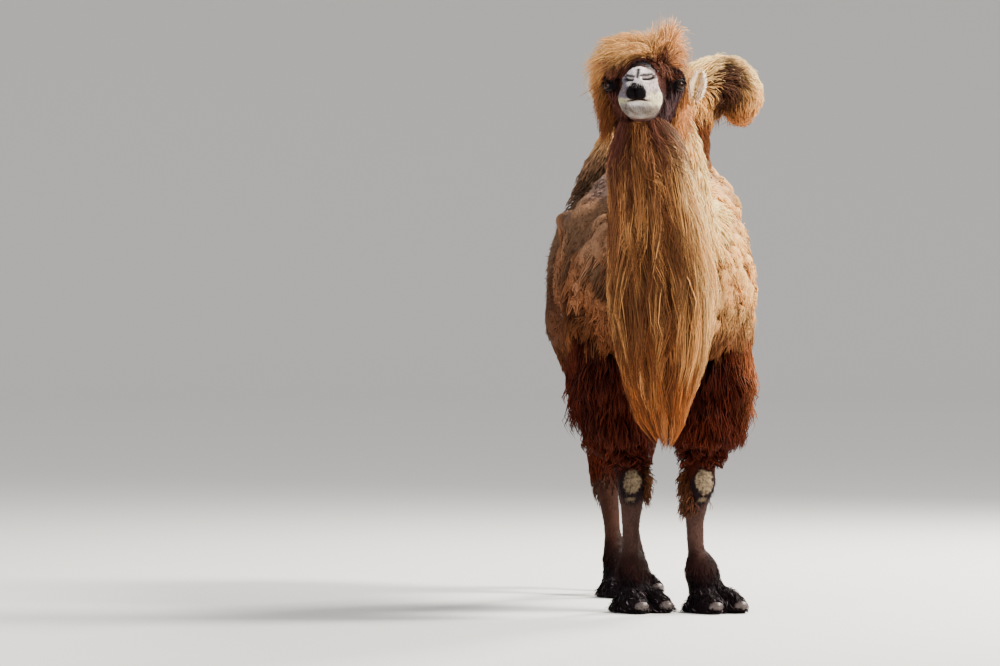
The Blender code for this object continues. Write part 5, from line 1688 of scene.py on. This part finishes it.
def make_lashes(short):
    """Long lashes along the upper lids."""
    spines, tops, rng = [], [], np.random.default_rng(141)
    for sign in (1, -1):
        centre, nosewards, up, outward = eye_frame(sign)
        for share in np.linspace(-0.92, 0.95, LASHES):
            share += rng.normal(0, 0.01)
            along = share * LID_HALF[0] * 1.02
            rise = math.sqrt(max(0.0, 1 - share ** 2)) * LID_HALF[1] * 1.06 + 0.001
            front = math.sqrt(max(1e-6, EYE_RADIUS ** 2 - along ** 2 - rise ** 2))
            aim = (nosewards * along + up * rise + outward * front) / EYE_RADIUS
            root = centre + aim * (EYE_RADIUS + 0.004)
            length = rng.uniform(*LASH_LENGTH)
            spine = [root]
            for bend in (-0.25, -0.75, -0.75, -0.45):
                step = outward + up * bend + nosewards * share * 0.35
                spine.append(spine[-1] + step / np.linalg.norm(step) * length / 4)
            spines.append(spine)
            tops.append(up)
    spine, normals = np.array(spines), np.array(tops)
    tone = plain(LASH, spine)
    put_on(coat_piece("lashes", spine, normals, np.full(len(spine), LASH_WIDTH), tone, rng, short,
                      root_dark=1.0, tip_light=1.2, vary=0.1, thickness=0.9), "face_hide")


EAR_ROOT = np.array((0.164, -0.165, -0.046))
EAR_TIP = np.array((0.190, -0.180, 0.056))
EAR_HALF, EAR_THICK = 0.025, 0.0035
EAR_TUFTS = 950


def make_ear(side, sign, hide, short):
    """A small cupped ear with a pale furry rim."""
    rows, columns = 26, 17
    along = np.linspace(0, 1, rows)[:, None]
    across = np.linspace(-1, 1, columns)[None]
    outline = np.sin(np.clip(along * 0.93 + 0.10, 0, 1) * math.pi) ** 0.55
    half = EAR_HALF * outline * (1 - 0.15 * along)
    root, tip = from_head(EAR_ROOT * (sign, 1, 1)), from_head(EAR_TIP * (sign, 1, 1))
    spine = root + (tip - root) * along[..., None]
    wide = unit((LEFT * sign * 0.75 - FORWARD * 0.2)[None])[0]
    wide = wide - wide @ (tip - root) / ((tip - root) @ (tip - root)) * (tip - root)
    wide /= np.linalg.norm(wide)
    front = np.cross(tip - root, wide)
    front /= np.linalg.norm(front)
    front *= 1 if front @ FORWARD > 0 else -1
    cup = 0.014 * (across ** 2) * outline - 0.006 * outline
    sheets = []
    for thickness in (0.0, -EAR_THICK):
        sheet = spine + wide * (half * across)[..., None] + front * (cup + thickness)[..., None]
        sheets.append(sheet.reshape(-1, 3))
    points = np.vstack(sheets)
    number = np.arange(rows * columns).reshape(rows, columns)
    a, b, c, d = number[:-1, :-1], number[1:, :-1], number[1:, 1:], number[:-1, 1:]
    face = np.vstack([np.stack([a, b, c], -1).reshape(-1, 3), np.stack([a, c, d], -1).reshape(-1, 3)])
    loop = np.concatenate([number[0, :-1], number[:-1, -1], number[-1, :0:-1], number[:0:-1, 0]])
    after = np.roll(loop, -1)
    other = rows * columns
    rim = np.vstack([np.stack([loop, after, after + other], 1),
                     np.stack([loop, after + other, loop + other], 1)])
    faces = np.vstack([face, face[:, ::-1] + other, rim])
    volume = np.einsum("ij,ij->i", points[faces[:, 0]],
                       np.cross(points[faces[:, 1]], points[faces[:, 2]])).sum()
    if volume < 0:
        faces = faces[:, ::-1]
    edge = np.concatenate([np.abs(np.broadcast_to(across, (rows, columns))).ravel()] * 2)
    tone = mix(plain(CREAM * 0.62, points), CREAM, ramp(0.25, 0.65, edge))
    obj = write_mesh("ear_skin_" + side, points, faces, tone)
    obj.data.materials.append(hide)
    put_on(obj, "face_hide", "ear_" + side)
    ear = Skin(points, faces, vertex_normals(points, faces), np.zeros(len(points), int), points)
    roots, normals, _, _, rng = ear.roots(EAR_TUFTS, np.ones(len(faces)), 151 + (sign > 0))
    out = unit(roots - (root + tip) / 2)
    aim = unit(unit((tip - root)[None]) * 0.9 + 0.6 * out + normals * 0.35
               + rng.normal(0, 0.18, roots.shape))
    length = rng.uniform(0.010, 0.020, len(roots))[:, None]
    spine = np.stack([roots - normals * 0.001, roots + aim * length * 0.5,
                      roots + aim * length + 0.002 * rng.normal(0, 1, roots.shape)], 1)
    where = np.abs((roots - root) @ wide) / EAR_HALF
    tone = mix(plain(CREAM * 0.75, roots), EAR_TUFT, ramp(0.05, 0.45, where))
    put_on(coat_piece("coat_ear_" + side, spine, normals, rng.uniform(0.0022, 0.0036, len(roots)), tone, rng,
                      short, root_dark=0.85, tip_light=1.2, vary=0.10), "face_hide")


NAIL_HALF = np.array((0.0290, 0.0240, 0.0185))
NAIL_PLACE = (0.127, 0.0265)        # ahead of the pad's middle, and above the ground


def make_nails():
    """Two blunt horny nails on each foot."""
    made, nodes, links, shader = new_material("nail")
    place = add_node(nodes, "NewGeometry")
    layers = add_node(nodes, "TexNoise", Scale=120.0, Detail=5.0, Distortion=1.2)
    horn = add_node(nodes, "ValToRGB")
    for stop, where, colour in zip(horn.color_ramp.elements, (0.30, 0.72), (NAIL_DARK, NAIL_PALE)):
        stop.position, stop.color = where, colour
    bump = add_node(nodes, "Bump", Strength=0.5, Distance=0.0008)
    rough = add_node(nodes, "MapRange", To_Min=0.32, To_Max=0.60)
    wire(links, (place.outputs["Position"], layers.inputs["Vector"]),
         (layers.outputs["Fac"], horn.inputs["Fac"]), (horn.outputs["Color"], shader.inputs["Base Color"]),
         (layers.outputs["Fac"], bump.inputs["Height"]), (bump.outputs["Normal"], shader.inputs["Normal"]),
         (layers.outputs["Fac"], rough.inputs["Value"]),
         (rough.outputs["Result"], shader.inputs["Roughness"]))
    rings, sides = 18, 28
    polar = np.linspace(0, math.pi, rings + 1)[1:-1, None]
    around = (np.arange(sides) * 2 * math.pi / sides)[None]
    ball = np.stack([np.sin(polar) * np.cos(around), np.sin(polar) * np.sin(around),
                     np.cos(polar) * np.ones_like(around)], -1)
    ball = np.vstack([ball.reshape(-1, 3), (0, 0, 1), (0, 0, -1)])
    faces = ball_faces(rings - 1, sides)
    axes = foot_axes()
    for leg in LEGS:
        size = FEET[leg][2]
        for toe, sign in (("outer" if leg.endswith("left") else "inner", 1),
                          ("inner" if leg.endswith("left") else "outer", -1)):
            shape = ball.copy()
            shape[:, 2] = np.where(shape[:, 2] > 0, shape[:, 2], shape[:, 2] * 0.85)
            shape[:, 0] *= 1 - 0.18 * np.clip(shape[:, 1], 0, 1)
            shape = shape * NAIL_HALF * size
            shape[:, 2] += 0.10 * shape[:, 1]
            centre = foot_point(leg, sign * TOE_SIDE, *NAIL_PLACE)
            name = f"nail_{leg}_{toe}"
            turned = faces if np.linalg.det(axes) > 0 else faces[:, ::-1]
            obj = write_mesh("horn_" + name, centre + shape @ axes, turned)
            obj.data.materials.append(made)
            put_on(obj, "nail", name)


# ---------------------------------------------------------------- stage
CAMERA_AWAY = 16.0          # from the camera to the plane of the forelegs
CAMERA_HEIGHT = 1.011
CAMERA_ASIDE = 0.578        # how far the forelegs stand right of the camera's axis
CAMERA_TURN = math.radians(6.0)     # how far the body is turned from the camera's axis
CAMERA_LENS = 158.4
FLOOR_COLOUR, SKY_COLOUR = (0.80, 0.79, 0.77, 1.0), (0.90, 0.89, 0.88, 1.0)
SKY_STRENGTH = 0.80
FLOOR_FLAT, COVE, WALL_TOP = 50.0, 12.0, 16.0       # radius of the flat, radius of the curve up, height
FLOOR_SIDES = 96
LIGHT_TARGET = Vector((0.0, 0.2, 1.1))
LIGHTS = (
    ("key", (5.6, -2.0, 6.4), 2.0, 1900.0, (1.0, 0.94, 0.85)),
    ("rim", (4.2, 4.6, 5.4), 1.8, 1250.0, (1.0, 0.94, 0.86)),
    ("fill", (-5.5, -6.0, 3.2), 4.0, 260.0, (0.92, 0.95, 1.0)),
)


def make_stage():
    """Pale floor, soft lights and the camera."""
    turn = np.linspace(0, 2 * math.pi, FLOOR_SIDES + 1)[:-1]
    rise = np.linspace(0, math.pi / 2, 12)
    radii = np.concatenate([[1.0, 20.0, 45.0], FLOOR_FLAT + COVE * np.sin(rise), [FLOOR_FLAT + COVE]])
    heights = np.concatenate([[0.0, 0.0, 0.0], COVE - COVE * np.cos(rise), [WALL_TOP]])
    points = np.stack([radii[:, None] * np.cos(turn), radii[:, None] * np.sin(turn),
                       np.repeat(heights[:, None], FLOOR_SIDES, 1)], -1).reshape(-1, 3)
    faces = ball_faces(len(radii), FLOOR_SIDES)[:-FLOOR_SIDES]
    floor = write_mesh("floor", np.vstack([points, (0, 0, 0)]) - ORIGIN, faces)
    made, _, _, shader = new_material("floor")
    shader.inputs["Base Color"].default_value = FLOOR_COLOUR
    shader.inputs["Roughness"].default_value = 0.9
    floor.data.materials.append(made)
    world = bpy.data.worlds.new("studio")
    bpy.context.scene.world = world
    world.use_nodes = True
    sky = world.node_tree.nodes["Background"].inputs
    sky["Color"].default_value, sky["Strength"].default_value = SKY_COLOUR, SKY_STRENGTH
    for name, place, size, power, colour in LIGHTS:
        lamp = bpy.data.lights.new(name, "AREA")
        lamp.energy, lamp.size, lamp.color = power, size, colour
        obj = bpy.data.objects.new(name, lamp)
        obj.location = place
        obj.rotation_euler = (LIGHT_TARGET - Vector(place)).to_track_quat("-Z", "Y").to_euler()
        bpy.context.scene.collection.objects.link(obj)
    camera = bpy.data.cameras.new("camera")
    camera.sensor_width, camera.lens = 36.0, CAMERA_LENS
    camera.clip_end = 200.0
    obj = bpy.data.objects.new("camera", camera)
    right = np.array((math.cos(CAMERA_TURN), -math.sin(CAMERA_TURN), 0.0))
    ahead = np.array((math.sin(CAMERA_TURN), math.cos(CAMERA_TURN), 0.0))
    obj.location = ORIGIN - CAMERA_ASIDE * right - CAMERA_AWAY * ahead + np.array((0, 0, CAMERA_HEIGHT))
    obj.rotation_euler = (math.pi / 2, 0.0, -CAMERA_TURN)
    bpy.context.scene.collection.objects.link(obj)
    bpy.context.scene.camera = obj


# ---------------------------------------------------------------- putting it together
def main():
    """Make the skin, the small parts, the coat and the stage."""
    hide = skin_material()
    hair = hair_material("long_hair", 0.58, 0.38)
    short = hair_material("short_fur", 0.70, 0.25)
    points, triangles, normals, region, rest = make_skin()
    skin_object = write_mesh("skin", points, triangles, markings(rest, region) * UNDERCOAT_SHADE)
    skin_object.data.materials.append(hide)
    put_on(skin_object, "coat_tan", *FLESH_NODES)
    skin = Skin(points, triangles, normals, region, rest)
    for side, sign in (("left", 1), ("right", -1)):
        make_eye(side, sign)
        make_ear(side, sign, hide, short)
    make_lashes(short)
    make_nails()
    body_coat(skin, hair, short)
    leg_coat(skin, hair, short)
    head_coat(skin, hair, short)
    beard_core(hair)
    beard_coat(hair)
    make_stage()


main()
